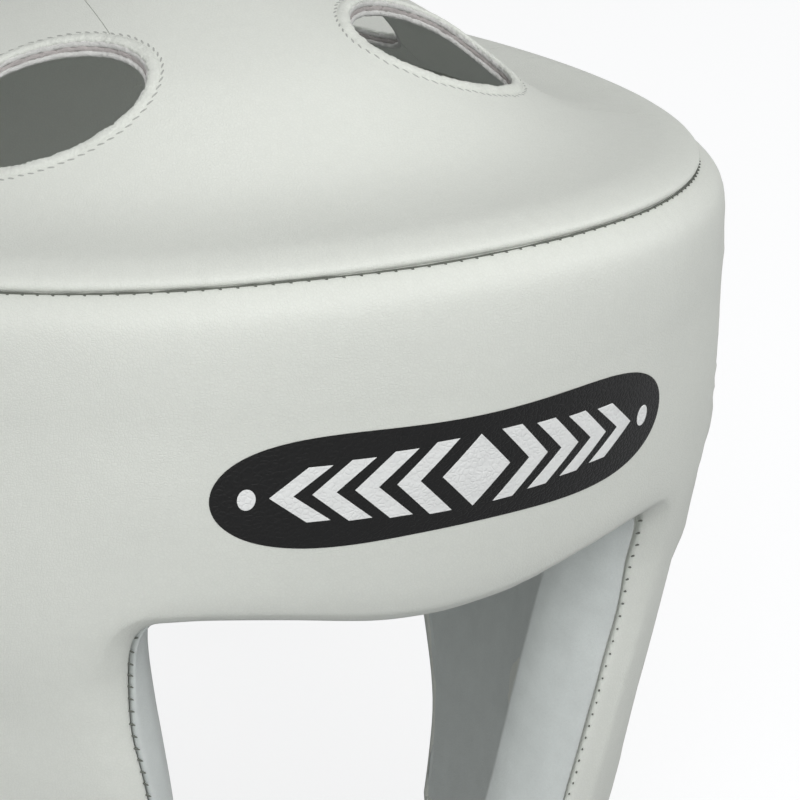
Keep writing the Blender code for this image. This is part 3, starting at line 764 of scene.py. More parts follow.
def pucker_and_seam_shade_group():
    """Gathers that the stitches of a seam leave in the leather, the wrinkles that run from it, and a mask for
    the painted shade along the seam line.
    """
    group, start, stop = new_group(
        "Seam puckers and painted seam shade",
        [("Wrap", "NodeSocketVector", None), ("Pitch", "NodeSocketFloat", 0.0031),
         ("Reach", "NodeSocketFloat", 0.004)],
        [("Height", "NodeSocketFloat"), ("Line", "NodeSocketFloat")])
    link = group.links.new
    parts = node(group, "ShaderNodeSeparateXYZ")
    link(start.outputs["Wrap"], parts.inputs[0])
    turns = maths(group, "DIVIDE", parts.outputs["X"], start.outputs["Pitch"])
    wave = maths(group, "SINE", maths(group, "MULTIPLY", turns, 2 * math.pi))
    away = maths(group, "DIVIDE", parts.outputs["Y"], start.outputs["Reach"])
    near = maths(group, "SUBTRACT", 1.0, away, clamp=True)
    gather = maths(group, "MULTIPLY", wave, maths(group, "POWER", near, 1.6))
    stretched = node(group, "ShaderNodeCombineXYZ")
    link(maths(group, "MULTIPLY", parts.outputs["X"], 420.0), stretched.inputs["X"])
    link(maths(group, "MULTIPLY", parts.outputs["Y"], 60.0), stretched.inputs["Y"])
    crinkle = node(group, "ShaderNodeTexNoise", noise_dimensions="3D", Scale=1.0, Detail=3.0)
    link(stretched.outputs[0], crinkle.inputs["Vector"])
    fade = ranged(group, parts.outputs["Y"], 0.003, 0.020, 1.0, 0.0, soft=True)
    wrinkle = maths(group, "MULTIPLY", crinkle.outputs["Fac"], fade)
    link(maths(group, "MULTIPLY_ADD", gather, 0.45, wrinkle), stop.inputs["Height"])
    # Painted seam shade: a mask that is one on the seam line and fades out 1.6 mm from it
    link(ranged(group, parts.outputs["Y"], 0.0, 0.0016, 1.0, 0.0, soft=True), stop.inputs["Line"])
    return group


GROUPS = {}


def build_groups():
    GROUPS["grain"] = grain_group()
    GROUPS["tone"] = tone_group()
    GROUPS["nap"] = nap_group()
    GROUPS["gathers_and_seam_shade"] = pucker_and_seam_shade_group()


def placed_group(tree, key, vector, **values):
    made = tree.nodes.new("ShaderNodeGroup")
    made.node_tree = GROUPS[key]
    tree.links.new(vector, made.inputs[0])
    for name, value in values.items():
        made.inputs[name].default_value = value
    return made


def new_material(name):
    material = bpy.data.materials.new(name)
    material.use_nodes = True
    tree = material.node_tree
    shader = tree.nodes["Principled BSDF"]
    places = tree.nodes.new("ShaderNodeTexCoord")
    return material, tree, shader, places.outputs["Object"]


def tinted(tree, colour, factor):
    """A colour times a factor that changes over the surface."""
    made = node(tree, "ShaderNodeVectorMath", operation="SCALE")
    made.inputs[0].default_value = tuple(colour)
    tree.links.new(factor, made.inputs["Scale"])
    return made.outputs[0]


def bumped(tree, shader, height, distance, strength=1.0, under=None):
    made = node(tree, "ShaderNodeBump", Strength=strength, Distance=distance)
    tree.links.new(height, made.inputs["Height"])
    if under is not None:
        tree.links.new(under, made.inputs["Normal"])
    if shader is not None:
        tree.links.new(made.outputs["Normal"], shader.inputs["Normal"])
    return made.outputs["Normal"]


def coloured(tree, shader, colour, factor):
    tree.links.new(tinted(tree, colour, factor), shader.inputs["Base Color"])


def roughened(tree, shader, value, low, high, at_low, at_high):
    """Roughness that runs from one value to another with the relief of the surface."""
    tree.links.new(ranged(tree, value, low, high, at_low, at_high), shader.inputs["Roughness"])


def leather_material(name, colour, scale=900.0, depth=0.00007, rough=0.50, gathered_with_seam_shade=False):
    material, tree, shader, places = new_material(name)
    grain = placed_group(tree, "grain", places, Scale=scale)
    tone = placed_group(tree, "tone", places, Scale=18.0, Amount=0.06)
    fine = placed_group(tree, "tone", places, Scale=420.0, Amount=0.05)
    shade = maths(tree, "MULTIPLY", tone.outputs["Factor"], fine.outputs["Factor"])
    shade = maths(tree, "MULTIPLY_ADD", grain.outputs["Crease"], -0.03, shade)
    coloured(tree, shader, colour, shade)
    roughened(tree, shader, grain.outputs["Height"], 0.2, 0.9, rough + 0.08, rough - 0.05)
    slow = bumped(tree, None, tone.outputs["Cloud"], 0.0012, 0.5)
    if gathered_with_seam_shade:
        wrap = node(tree, "ShaderNodeUVMap", uv_map="wrap")
        gathers_and_seam_shade = placed_group(tree, "gathers_and_seam_shade", wrap.outputs["UV"])
        slow = bumped(tree, None, gathers_and_seam_shade.outputs["Height"], 0.00035, 0.9, slow)
        # Painted shade: the leather is darkened by a tenth along the crown seam, where it turns down into the
        # seam
        shade = maths(tree, "MULTIPLY_ADD", gathers_and_seam_shade.outputs["Line"], -0.10, shade)
        coloured(tree, shader, colour, shade)
    bumped(tree, shader, grain.outputs["Height"], depth, 1.0, slow)
    shader.inputs["Specular IOR Level"].default_value = 0.42
    return material


def suede_material(name, colour):
    material, tree, shader, places = new_material(name)
    nap = placed_group(tree, "nap", places)
    tone = placed_group(tree, "tone", places, Scale=60.0, Amount=0.10)
    fibres = ranged(tree, nap.outputs["Shade"], 0.3, 0.7, 0.93, 1.07)
    coloured(tree, shader, colour, maths(tree, "MULTIPLY", tone.outputs["Factor"], fibres))
    roughened(tree, shader, nap.outputs["Shade"], 0.3, 0.7, 0.95, 0.85)
    slow = bumped(tree, None, tone.outputs["Cloud"], 0.0008, 0.6)
    bumped(tree, shader, nap.outputs["Height"], 0.00012, 0.8, slow)
    shader.inputs["Specular IOR Level"].default_value = 0.2
    shader.inputs["Sheen Weight"].default_value = 0.25
    shader.inputs["Sheen Roughness"].default_value = 0.5
    return material


def raw_material(name, colour):
    material, tree, shader, places = new_material(name)
    nap = placed_group(tree, "nap", places, Scale=1500.0)
    shade = ranged(tree, nap.outputs["Shade"], 0.3, 0.7, 0.86, 1.10)
    coloured(tree, shader, colour, shade)
    roughened(tree, shader, nap.outputs["Shade"], 0.3, 0.7, 0.98, 0.88)
    bumped(tree, shader, nap.outputs["Height"], 0.0003, 0.9)
    shader.inputs["Specular IOR Level"].default_value = 0.15
    return material


def thread_material(name, colour):
    material, tree, shader, places = new_material(name)
    twist = node(tree, "ShaderNodeTexNoise", noise_dimensions="3D", Scale=2600.0, Detail=2.0)
    tree.links.new(places, twist.inputs["Vector"])
    shade = ranged(tree, twist.outputs["Fac"], 0.3, 0.7, 0.85, 1.08)
    coloured(tree, shader, colour, shade)
    roughened(tree, shader, twist.outputs["Fac"], 0.3, 0.7, 0.55, 0.75)
    bumped(tree, shader, twist.outputs["Fac"], 0.0001, 0.8)
    return material


def film_material(name, colour, rough, coat):
    material, tree, shader, places = new_material(name)
    grain = placed_group(tree, "grain", places, Scale=900.0)
    tone = placed_group(tree, "tone", places, Scale=300.0, Amount=0.2)
    coloured(tree, shader, colour, tone.outputs["Factor"])
    roughened(tree, shader, grain.outputs["Height"], 0.2, 0.9, rough + 0.1, rough - 0.05)
    bumped(tree, shader, grain.outputs["Height"], 0.00012, 1.0)
    shader.inputs["Coat Weight"].default_value = coat
    shader.inputs["Specular IOR Level"].default_value = 0.3
    shader.inputs["Coat Roughness"].default_value = 0.25
    return material


def plastic_material(name, colour):
    material, tree, shader, places = new_material(name)
    tone = placed_group(tree, "tone", places, Scale=900.0, Amount=0.3)
    coloured(tree, shader, colour, tone.outputs["Factor"])
    roughened(tree, shader, tone.outputs["Cloud"], 0.3, 0.7, 0.38, 0.5)
    bumped(tree, shader, tone.outputs["Cloud"], 0.00005, 0.6)
    return material


FINISH = {}


def build_finishes(colours):
    FINISH["leather"] = leather_material("White leather", colours.leather, 1500.0, 0.00005, gathered_with_seam_shade=True)
    FINISH["strap"] = leather_material("Strap leather", colours.leather, scale=1100.0)
    FINISH["suede"] = suede_material("Pale suede", colours.suede)
    FINISH["raw"] = raw_material("Cut leather edge", colours.raw_edge)
    FINISH["foam"] = raw_material("Cut backing layer", (0.47, 0.44, 0.43))
    FINISH["lip"] = raw_material("Napped lip", tuple(value * 1.02 for value in colours.leather))
    FINISH["thread"] = thread_material("Pale thread", colours.thread)
    # Near-black thread that is partly real thread and partly painted shadow: the shade of the crown seam's
    # gap and of needle holes is in its colour
    FINISH["shadow thread"] = thread_material("Dark thread with painted shadow", (0.12, 0.13, 0.11))
    # Mid grey: the thread darkened with the painted shade of its needle holes
    FINISH["vent thread"] = thread_material("Vent thread with painted hole shade", (0.40, 0.41, 0.385))
    FINISH["dark film"] = film_material("Dark film", colours.dark, 0.42, 0.12)
    FINISH["light film"] = film_material("Light film", (0.80, 0.81, 0.80), 0.42, 0.2)
    FINISH["plastic"] = plastic_material("Moulded plastic", colours.plastic)


# Threads

def resampled(points, pitch, closed=False):
    """Points at an even pitch along a polyline, each with its direction."""
    chain = list(points) + ([points[0]] if closed else [])
    lengths = [0.0]
    for here, there in zip(chain, chain[1:]):
        lengths.append(lengths[-1] + (there - here).length)
    count = max(int(lengths[-1] / pitch), 1)
    rows = []
    index = 0
    for i in range(count + (0 if closed else 1)):
        want = lengths[-1] * i / count
        while index < len(lengths) - 2 and lengths[index + 1] < want:
            index += 1
        part = (want - lengths[index]) / max(lengths[index + 1] - lengths[index], 1e-9)
        direction = (chain[index + 1] - chain[index]).normalized()
        rows.append((chain[index].lerp(chain[index + 1], part), direction))
    return rows


def stitch_row(name, rows, length, thick, sink, material, lean=0.0):
    """One short thread at each place of (point, direction, normal), joined into one piece."""
    bpy.ops.mesh.primitive_uv_sphere_add(segments=8, ring_count=6, radius=0.5)
    model = added(name + "_model")
    for vertex in model.data.vertices:
        x, y, z = vertex.co
        vertex.co = (x * thick, y * thick, z * length)
    smooth(model)
    copies = []
    for point, direction, normal in rows:
        copy = model.copy()
        copy.data = model.data.copy()
        bpy.context.scene.collection.objects.link(copy)
        side = direction.cross(normal).normalized()
        run = (direction + side * lean).normalized()
        up = (normal - run * normal.dot(run)).normalized()
        turn = Matrix((run.cross(up), up, run)).transposed().to_4x4()
        copy.matrix_world = Matrix.Translation(point - normal * sink) @ turn
        copies.append(copy)
    drop(model)
    pick(*copies)
    bpy.ops.object.transform_apply(location=True, rotation=True, scale=True)
    return settle(joined(name, copies), material)


def laid(skin, points, pitch, closed=False, shift=0.0, away=None):
    """Places at an even pitch along a path that is pressed onto a skin: point, direction, normal."""
    rows = []
    for point, direction in resampled(points, pitch, closed):
        place, normal, index, distance = skin.find_nearest(point)
        if shift:
            side = direction.cross(normal).normalized()
            if away is not None and side.dot(point - away) < 0:
                side = -side
            place, normal, index, distance = skin.find_nearest(place + side * shift)
        direction = (direction - normal * direction.dot(normal)).normalized()
        rows.append((place, direction, normal))
    return rows


def ring(name, rows, section, vary=None):
    """Closed ring with the same section at each place of (point, direction, normal)."""
    bpy.ops.mesh.primitive_grid_add(x_subdivisions=len(section), y_subdivisions=len(rows), size=1)
    piece = added(name)
    for vertex in piece.data.vertices:
        point, direction, normal = rows[round((vertex.co.y + 0.5) * len(rows)) % len(rows)]
        across, up = section[round((vertex.co.x + 0.5) * len(section)) % len(section)]
        if vary is not None:
            across, up = vary(point, across, up)
        side = direction.cross(normal).normalized()
        vertex.co = point + side * across + normal * up
    bpy.ops.object.mode_set(mode="EDIT")
    bpy.ops.mesh.select_all(action="SELECT")
    bpy.ops.mesh.remove_doubles(threshold=0.000001)
    bpy.ops.mesh.normals_make_consistent(inside=False)
    bpy.ops.object.mode_set(mode="OBJECT")
    return piece


def round_section(radius, count=8):
    return [(radius * math.cos(2 * math.pi * i / count), radius * math.sin(2 * math.pi * i / count))
            for i in range(count)]


def looped(points, normals):
    """Rows of a closed path: each point with the direction to the next and its normal."""
    count = len(points)
    return [(points[i], (points[(i + 1) % count] - points[i - 1]).normalized(), normals[i])
            for i in range(count)]


# Pieces

class HEADGEAR_OT_stage(bpy.types.Operator):
    """Adds the camera, the floor and the studio light"""
    bl_idname = "headgear.stage"
    bl_label = "Stage"

    def execute(self, context):
        low = CAD_BOX[0].z
        bpy.ops.mesh.primitive_plane_add(size=6, location=(0, 0, low - 0.002))
        floor = added("floor")
        material, tree, shader, places = new_material("Pale floor")
        shade = node(tree, "ShaderNodeTexNoise", noise_dimensions="3D", Scale=3.0)
        tree.links.new(places, shade.inputs["Vector"])
        coloured(tree, shader, (0.36, 0.365, 0.37), ranged(tree, shade.outputs["Fac"], 0.0, 1.0, 0.99, 1.01))
        shader.inputs["Roughness"].default_value = 0.9
        shader.inputs["Specular IOR Level"].default_value = 0.1
        shader.inputs["Emission Color"].default_value = (1, 1, 1, 1)
        looked_at = tree.nodes.new("ShaderNodeLightPath")
        tree.links.new(ranged(tree, looked_at.outputs["Is Camera Ray"], 0, 1, 0.0, 0.70),
                       shader.inputs["Emission Strength"])
        floor.data.materials.append(material)
        for name, place, size, energy in (("key_light", (-0.8, -1.6, 1.2), 2.2, 36),
                                          ("top_light", (0.3, 0.3, 1.9), 2.0, 9),
                                          ("fill_light", (-1.6, -0.9, 0.0), 1.6, 7),
                                          ("side_light", (1.6, -0.6, 0.4), 1.6, 13)):
            bpy.ops.object.light_add(type="AREA", location=place)
            light = added(name)
            light.data.shape = "DISK"
            light.data.size = size
            light.data.energy = energy
            light.rotation_euler = (Vector((0, 0, -0.1)) - light.location).to_track_quat("-Z", "Y").to_euler()
        world = bpy.data.worlds.new("Studio")
        world.use_nodes = True
        tree = world.node_tree
        background = tree.nodes["Background"]
        background.inputs["Color"].default_value = (0.975, 0.983, 1.0, 1)
        seen = tree.nodes.new("ShaderNodeLightPath")
        tree.links.new(ranged(tree, seen.outputs["Is Camera Ray"], 0, 1, 0.25, 0.985),
                       background.inputs["Strength"])
        context.scene.world = world
        context.scene.view_settings.view_transform = "Standard"
        bpy.ops.object.camera_add()
        camera = added("camera")
        look = Vector((0.4367, 0.7950, -0.4211)).normalized()
        right = Vector((0.8812, -0.4722, 0.0223)).normalized()
        up = right.cross(look).normalized()
        turn = Matrix((right, up, -look)).transposed().to_4x4()
        camera.matrix_world = Matrix.Translation((-0.2711, -0.5922, 0.2012)) @ turn
        camera.data.sensor_width = 36
        camera.data.lens = 147.8
        camera.data.clip_start = 0.01
        context.scene.camera = camera
        return {"FINISHED"}


class HEADGEAR_OT_front_shell(bpy.types.Operator):
    """Builds the leather shell over the forehead and the cheeks"""
    bl_idname = "headgear.front_shell"
    bl_label = "Front shell"

    def execute(self, context):
        piece = frame_copy("front_pad", "front_shell")
        cad = skin_of(piece)
        edges = sharp_places(piece, 40)
        creased(piece, 50, (EAR_BACK, -EAR_DROP - SEAT_HEIGHT), EAR_WIDTH + 0.006, EAR_LENGTH + 0.006)
        subdivide(piece, levels=2, rounds=3)
        evened(piece, cad)
        relaxed(piece, edges, reach=0.0032, repeat=12, under_seam=0.014)
        relaxed(piece, edges, reach=0.0060, repeat=30, under_seam=0.022)
        sides_evened(piece)
        unevened(piece, strength=0.0007, size=0.035)
        wrap_map(piece)
        smooth(piece)
        settle(piece, FINISH["leather"], ["front_pad"])
        return {"FINISHED"}


class HEADGEAR_OT_suede_lining(bpy.types.Operator):
    """Builds the suede lining that wraps the walls of the face opening"""
    bl_idname = "headgear.suede_lining"
    bl_label = "Suede lining"

    def execute(self, context):
        piece = frame_copy("front_lining", "suede_lining")
        rims = []
        for chain in sharp_chains(piece, bend=75):
            front = [point for point in chain if point.y < -0.06 and -0.2235 < point.z < -0.085]
            if len(front) > 30 and chain_length(front) > 0.3:
                rims.append(front)
        edges = sharp_places(piece, 50)
        subdivide(piece, levels=2, rounds=3)
        relaxed(piece, edges, reach=0.0032, repeat=20)
        unevened(piece, strength=0.0006, size=0.02)
        smooth(piece)
        settle(piece, FINISH["suede"], ["front_lining"])
        cad = skin_of(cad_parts["front_pad"])
        rims.sort(key=lambda rim: sum(cad.find_nearest(point)[3] for point in rim) / len(rim))
        rim = softened(rims[-1])
        shell = skin_of(bpy.data.objects["front_shell"])
        lining = skin_of(piece)
        middle = Vector((0, -0.1, -0.16))
        ticks = []
        for point, run in resampled(rim, context.scene.headgear_sizes.stitch_pitch):
            face = self.outward(lining, point, run)
            side = run.cross(face).normalized()
            if side.dot(point - middle) < 0:
                side = -side
            stray = noise.noise(point * 900) * 0.0003
            over = point + side * (-0.0005 + stray) + face * 0.0012
            place, normal, index, distance = shell.find_nearest(over)
            ticks.append((place, (side + run * (0.35 + stray * 900)).normalized(), normal))
        thick = context.scene.headgear_sizes.thread
        # Dark stitch dots: the thread together with the painted shade of its needle holes
        stitch_row("lining_stitches_and_hole_shade", ticks, 0.0018, thick * 0.85, -0.00025, FINISH["shadow thread"])
        return {"FINISHED"}

    def outward(self, skin, point, run):
        """Mean outward direction of a skin close to a point on its rim, square to the rim."""
        total = Vector()
        for place, normal, index, distance in skin.find_nearest_range(point, 0.003):
            total += normal * (0.0032 - distance)
        total -= run * total.dot(run)
        return total.normalized()


class HEADGEAR_OT_crown(bpy.types.Operator):
    """Builds the domed crown with its padded edge, side strips and vents"""
    bl_idname = "headgear.crown"
    bl_label = "Crown"

    def whole(self, name):
        bpy.ops.mesh.primitive_uv_sphere_add(segments=168, ring_count=120, radius=1)
        piece = added(name)
        rim = HALF_WIDTH - SEAM_INSET
        for vertex in piece.data.vertices:
            x, y, z = vertex.co
            turn = math.atan2(x, -y)
            rise = math.asin(max(min(z, 1.0), -1.0)) / (math.pi / 2)
            fall = 1 - abs(rise)
            if rise >= -0.0001:
                roll = max(fall - EDGE_START, 0.0) / (1 - EDGE_START) * math.pi / 2
                if fall < EDGE_START:
                    share = fall / EDGE_START * (1 - SOFT_EDGE / rim)
                else:
                    share = 1 - SOFT_EDGE / rim * (1 - math.sin(roll))
                height = crown_height(share, turn)
                share += EDGE_ROLL / rim * math.sin(roll) ** 4 * math.cos(roll)
            else:
                share = fall
                height = crown_under(share, turn)
            vertex.co = crown_place(share, turn, height)
        return piece

    def execute(self, context):
        vents = {}
        for side in (-1, 1):
            for end in (-1, 1):
                vents[(side, end)] = prism("vent", vent_outline(side, end, 0.0, 96), -0.09, 0.05)
        panel = self.whole("crown_top")
        strips = []
        for side, word in SIDES:
            clear = prism("clear", strip_outline(side, STRIP_GAP), -0.09, 0.05)
            keep = prism("keep", strip_outline(side, -STRIP_GAP), -0.091, 0.051)
            trim(panel, clear)
            strip = self.whole("crown_strip_" + word)
            trim(strip, keep, "INTERSECT")
            for end in (-1, 1):
                trim(strip, vents[(side, end)])
            strips.append((strip, "crown_side_" + word))
            drop(clear, keep)
        for tool in vents.values():
            trim(panel, tool)
        drop(*vents.values())
        for piece in [panel] + [strip for strip, name in strips]:
            wrap_map(piece)
            smooth(piece, 50)
        settle(panel, FINISH["leather"], ["crown_panel"])
        for strip, name in strips:
            settle(strip, FINISH["leather"], [name])
        return {"FINISHED"}


class HEADGEAR_OT_crown_seam(bpy.types.Operator):
    """Sews the crown to the pads all the way round"""
    bl_idname = "headgear.crown_seam"
    bl_label = "Crown seam"

    def execute(self, context):
        sizes = context.scene.headgear_sizes
        seat = Vector((0, 0, SEAT_HEIGHT))
        pads = skin_of(bpy.data.objects["front_shell"], bpy.data.objects["rear_pad"])
        path, outward = [], []
        for i in range(420):
            turn = 2 * math.pi * i / 420
            rim = seam_point(turn, SEAM_INSET - 0.0004) - seat
            place, normal, index, distance = pads.ray_cast(rim + Vector((0, 0, 0.01)), Vector((0, 0, -1)))
            path.append(rim if place is None or place.z < rim.z - 0.0008 else place + Vector((0, 0, 0.00008)))
            outward.append(Vector((math.sin(turn), -math.cos(turn), 0.4)).normalized())
        path = softened(path, 2, True)

        def twisted(point, across, rise):
            thick = 0.8 + 0.5 * noise.noise(point * 260)
            return across * thick, rise * thick

        # The dark cord is partly thread and partly the painted shadow of the gap between the crown and the
        # pads
        cord = ring("crown_seam_thread_and_gap_shadow", looped(path, outward), round_section(0.00024, 8), twisted)
        smooth(cord)
        settle(cord, FINISH["shadow thread"])
        rows = []
        for point, direction in resampled(path, sizes.seam_pitch, True):
            normal = Vector((point.x, point.y, 0)).normalized()
            rows.append((point + normal * 0.0003 - Vector((0, 0, 0.0001)), direction, normal))
        # Dark stitch ticks: the thread together with painted shade where it sinks into the seam
        stitch_row("crown_seam_stitches_and_shade", rows, 0.0011, sizes.thread * 0.7, 0.0,
                   FINISH["shadow thread"], lean=0.7)
        return {"FINISHED"}


class HEADGEAR_OT_vent_rims(bpy.types.Operator):
    """Finishes the vents with their cut layers and the sewing round them"""
    bl_idname = "headgear.vent_rims"
    bl_label = "Vent rims"

    def execute(self, context):
        sizes = context.scene.headgear_sizes
        layers = (("top", 0.0002, 0.0013, 0.00050, "raw"), ("middle", 0.0013, 0.0023, 0.00040, "foam"),
                  ("under", 0.0022, 0.0033, 0.00075, "raw"))
        for side, word in SIDES:
            for end, place in ((-1, "front"), (1, "back")):
                name = "vent_%s_%s" % (place, word)
                faces = [crown_face(x, y) for x, y in vent_outline(side, end, 0.0, 400)]
                points = [point for point, normal in faces]
                middle = sum(points, Vector()) / len(points)
                rows = looped(points, [UP] * len(points))
                inward = 1 if rows[0][1].cross(UP).dot(middle - points[0]) > 0 else -1
                for label, high, low, reach, finish in layers:

                    def ragged(point, across, rise, low=low):
                        if across <= 0:
                            return across * inward, rise
                        rough = noise.noise(point * 700 + Vector((0, 0, low * 3000)))
                        rough += 0.8 * noise.noise(point * 2300 + Vector((0, rise * 4000, low * 3000)))
                        return (across + 0.00024 * rough) * inward, rise + 0.00022 * rough

                    edge = [(-0.0006, -high), (reach * 0.7, -high), (reach, -high * 0.75 - low * 0.25),
                            (reach, -high * 0.25 - low * 0.75), (reach * 0.6, -low), (-0.0006, -low)]
                    rim = ring(name + "_" + label, rows, edge, ragged)
                    smooth(rim, 60)
                    settle(rim, FINISH[finish])

                def fuzzed(point, across, rise):
                    rough = noise.noise(point * 700) + 0.9 * noise.noise(point * 2700)
                    if across > -0.0004:
                        across += 0.00030 * rough
                    return across * inward, rise + 0.00005 * rough

                lip = [(0.00012, -0.0006), (0.00035, -0.0001), (0.0, 0.00032), (-0.0007, 0.00048),
                       (-0.0014, 0.00042), (-0.0020, 0.00018), (-0.0023, -0.0002), (-0.0018, -0.0006)]
                collar = ring(name + "_lip", looped(points, [normal for point, normal in faces]), lip, fuzzed)
                smooth(collar, 70)
                settle(collar, FINISH["lip"])
                sewn = []
                outline = [Vector((x, y, crown_level(x, y))) for x, y in vent_outline(side, end, 0.0025, 160)]
                for point, direction in resampled(outline, 0.0021, True):
                    place_on, normal = crown_face(point.x, point.y)
                    stray = direction.cross(normal).normalized() * noise.noise(point * 900) * 0.0003
                    sewn.append((place_on + stray, direction, normal))
                # Grey stitch dots: thread together with the painted shade of its needle holes
                stitch_row(name + "_stitches", sewn, 0.0019, 0.0005, 0.00012,
                           FINISH["vent thread"], lean=0.35)
        return {"FINISHED"}


class HEADGEAR_OT_strip_seams(bpy.types.Operator):
    """Sews the side strips of the crown to its middle panel"""
    bl_idname = "headgear.strip_seams"
    bl_label = "Strip seams"

    def in_vent(self, point, side, end):
        x, y = plan_turned(point.x, point.y, -CROWN_TURN)
        x, y = plan_turned(x - side * VENT_ACROSS, y - end * VENT_ALONG, side * end * VENT_SWING)
        return math.hypot(x / (VENT_LENGTH / 2 + VENT_CLEAR), y / (VENT_WIDTH / 2 + VENT_CLEAR)) < 1

    def execute(self, context):
        for side, word in SIDES:
            outline = strip_outline(side, 0.0)
            seam = [Vector((x, y, 0)) for x, y in outline]
            paths = (seam[:4], [seam[-1], seam[0]], seam[4:])
            rows = []
            for path in paths:
                for point, direction in resampled(path, 0.0024):
                    turn = math.atan2(point.x, -point.y)
                    width, reach = seam_reach(turn)
                    if math.hypot(point.x / width, point.y / reach) > 0.985:
                        continue
                    if not any(self.in_vent(point, side, end) for end in (-1, 1)):
                        place, normal = crown_face(point.x, point.y)
                        rows.append((place, direction, normal))
            # Grey stitch dots: thread together with the painted shade of its needle holes
            stitch_row("strip_seam_" + word, rows, 0.0012, 0.00036, 0.00022, FINISH["vent thread"], lean=0.9)
        return {"FINISHED"}


class HEADGEAR_OT_ear_rims(bpy.types.Operator):
    """Binds the edges of the ear holes and sews the binding down"""
    bl_idname = "headgear.ear_rims"
    bl_label = "Ear rims"

    def execute(self, context):
        shell = skin_of(bpy.data.objects["front_shell"])
        for side, word in SIDES:
            loops = []
            for grow in (0.0014, 0.0042):
                places = []
                for i in range(140):
                    a = 2 * math.pi * i / 140
                    y = EAR_BACK + (EAR_WIDTH / 2 + grow) * math.cos(a)
                    z = -EAR_DROP - SEAT_HEIGHT + (EAR_LENGTH / 2 + grow) * math.sin(a)
                    places.append(seen_from(shell, (side * 0.2, y, z), (0, y, z)))
                loops.append(places)
            inner = looped([place for place, normal in loops[0]], [normal for place, normal in loops[0]])
            binding = ring("ear_binding_" + word, inner,
                           [(math.cos(a) * 0.0016, math.sin(a) * 0.0009) for a in
                            (2 * math.pi * i / 10 for i in range(10))])
            smooth(binding)
            settle(binding, FINISH["strap"])
            skin_points = [place for place, normal in loops[1]]
            rows = laid(shell, skin_points, 0.003, True)
            stitch_row("ear_stitches_" + word, rows, 0.0019, 0.0005, 0.0001, FINISH["thread"])
        return {"FINISHED"}


class HEADGEAR_OT_emblem(bpy.types.Operator):
    """Lays the printed emblem over the forehead"""
    bl_idname = "headgear.emblem"
    bl_label = "Emblem"

    def film(self, name, shape, columns, rows, lift, finish, skin):
        """Thin film: shape gives the place on the print, along and up, for shares from 0 to 1."""
        sizes = bpy.context.scene.headgear_sizes
        bpy.ops.mesh.primitive_grid_add(x_subdivisions=columns, y_subdivisions=rows, size=1)
        piece = added(name)
        width, reach = seam_reach(0.0)
        for vertex in piece.data.vertices:
            along, up = shape(vertex.co.x + 0.5, vertex.co.y + 0.5)
            turn = along * sizes.emblem_width / reach
            height = seam_height(turn) - SEAT_HEIGHT - sizes.emblem_drop + up * sizes.emblem_height
            place, normal = around(skin, turn, height)
            vertex.co = place + normal * lift
        modify(piece, "SOLIDIFY", thickness=0.00009, offset=1.0)
        bevelled(piece, 0.00003, 1, 60)
        smooth(piece, 40)
        return settle(piece, FINISH[finish])

    def execute(self, context):
        skin = skin_of(bpy.data.objects["front_shell"])

        def plate(grow):
            def shape(s, t):
                x = math.sin((s - 0.5) * math.pi)
                half = 0.5 * math.sqrt(max(1 - x ** 4, 0.0)) * (0.96 - 0.06 * math.cos(x * math.pi))
                return (x * (0.5 + grow), (t - 0.5) * 2 * (half + grow * 2.2))
            return shape

        def chevron(middle, side, width=0.044, high=0.56, lean=0.070):
            def shape(s, t):
                return (middle + (s - 0.5) * width - side * abs(t - 0.5) * 2 * lean, (t - 0.5) * high)
            return shape

        def diamond(middle, wide, high):
            def shape(s, t):
                return (middle + (s - t) * wide, (s + t - 1) * high)
            return shape

        def disc(middle, wide, high):
            def shape(s, t):
                x, y = 2 * s - 1, 2 * t - 1
                return (middle + wide * x * math.sqrt(1 - y * y / 2), high * y * math.sqrt(1 - x * x / 2))
            return shape

        self.film("emblem_plate", plate(0.0), 72, 20, 0.00005, "dark film", skin)
        marks = [("emblem_diamond", diamond(0.0, 0.070, 0.30))]
        for step in range(4):
            for side, word in SIDES:
                mark = chevron(side * (0.135 + 0.078 * step), side, high=0.60 - 0.05 * step)
                marks.append(("emblem_chevron_%s_%d" % (word, step + 1), mark))
        for side, word in SIDES:
            marks.append(("emblem_disc_" + word, disc(side * 0.432, 0.017, 0.085)))
        for name, shape in marks:
            self.film(name, shape, 14, 14, 0.00016, "light film", skin)
        return {"FINISHED"}


class HEADGEAR_OT_back_pad(bpy.types.Operator):
    """Builds the pad over the back of the head"""
    bl_idname = "headgear.back_pad"
    bl_label = "Back pad"

    def execute(self, context):
        piece = frame_copy("back_pad", "rear_pad")
        subdivide(piece, levels=2, rounds=3)
        unevened(piece, strength=0.0007, size=0.03)
        wrap_map(piece)
        smooth(piece)
        settle(piece, FINISH["leather"], ["back_pad"])
        skin = skin_of(piece)
        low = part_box("back_pad")[0][2]
        border = []
        first, last = math.radians(126), math.radians(234)
        for i in range(49):
            turn = first + (last - first) * i / 48
            border.append(around(skin, turn, seam_height(turn) - SEAT_HEIGHT - 0.008)[0])
        for i in range(49):
            turn = last + (first - last) * i / 48
            border.append(around(skin, turn, low + 0.011)[0])
        rows = laid(skin, softened(border, 3, True), 0.0032, True)
        stitch_row("rear_pad_stitches", rows, 0.0021, 0.0005, 0.0001, FINISH["thread"])
        return {"FINISHED"}


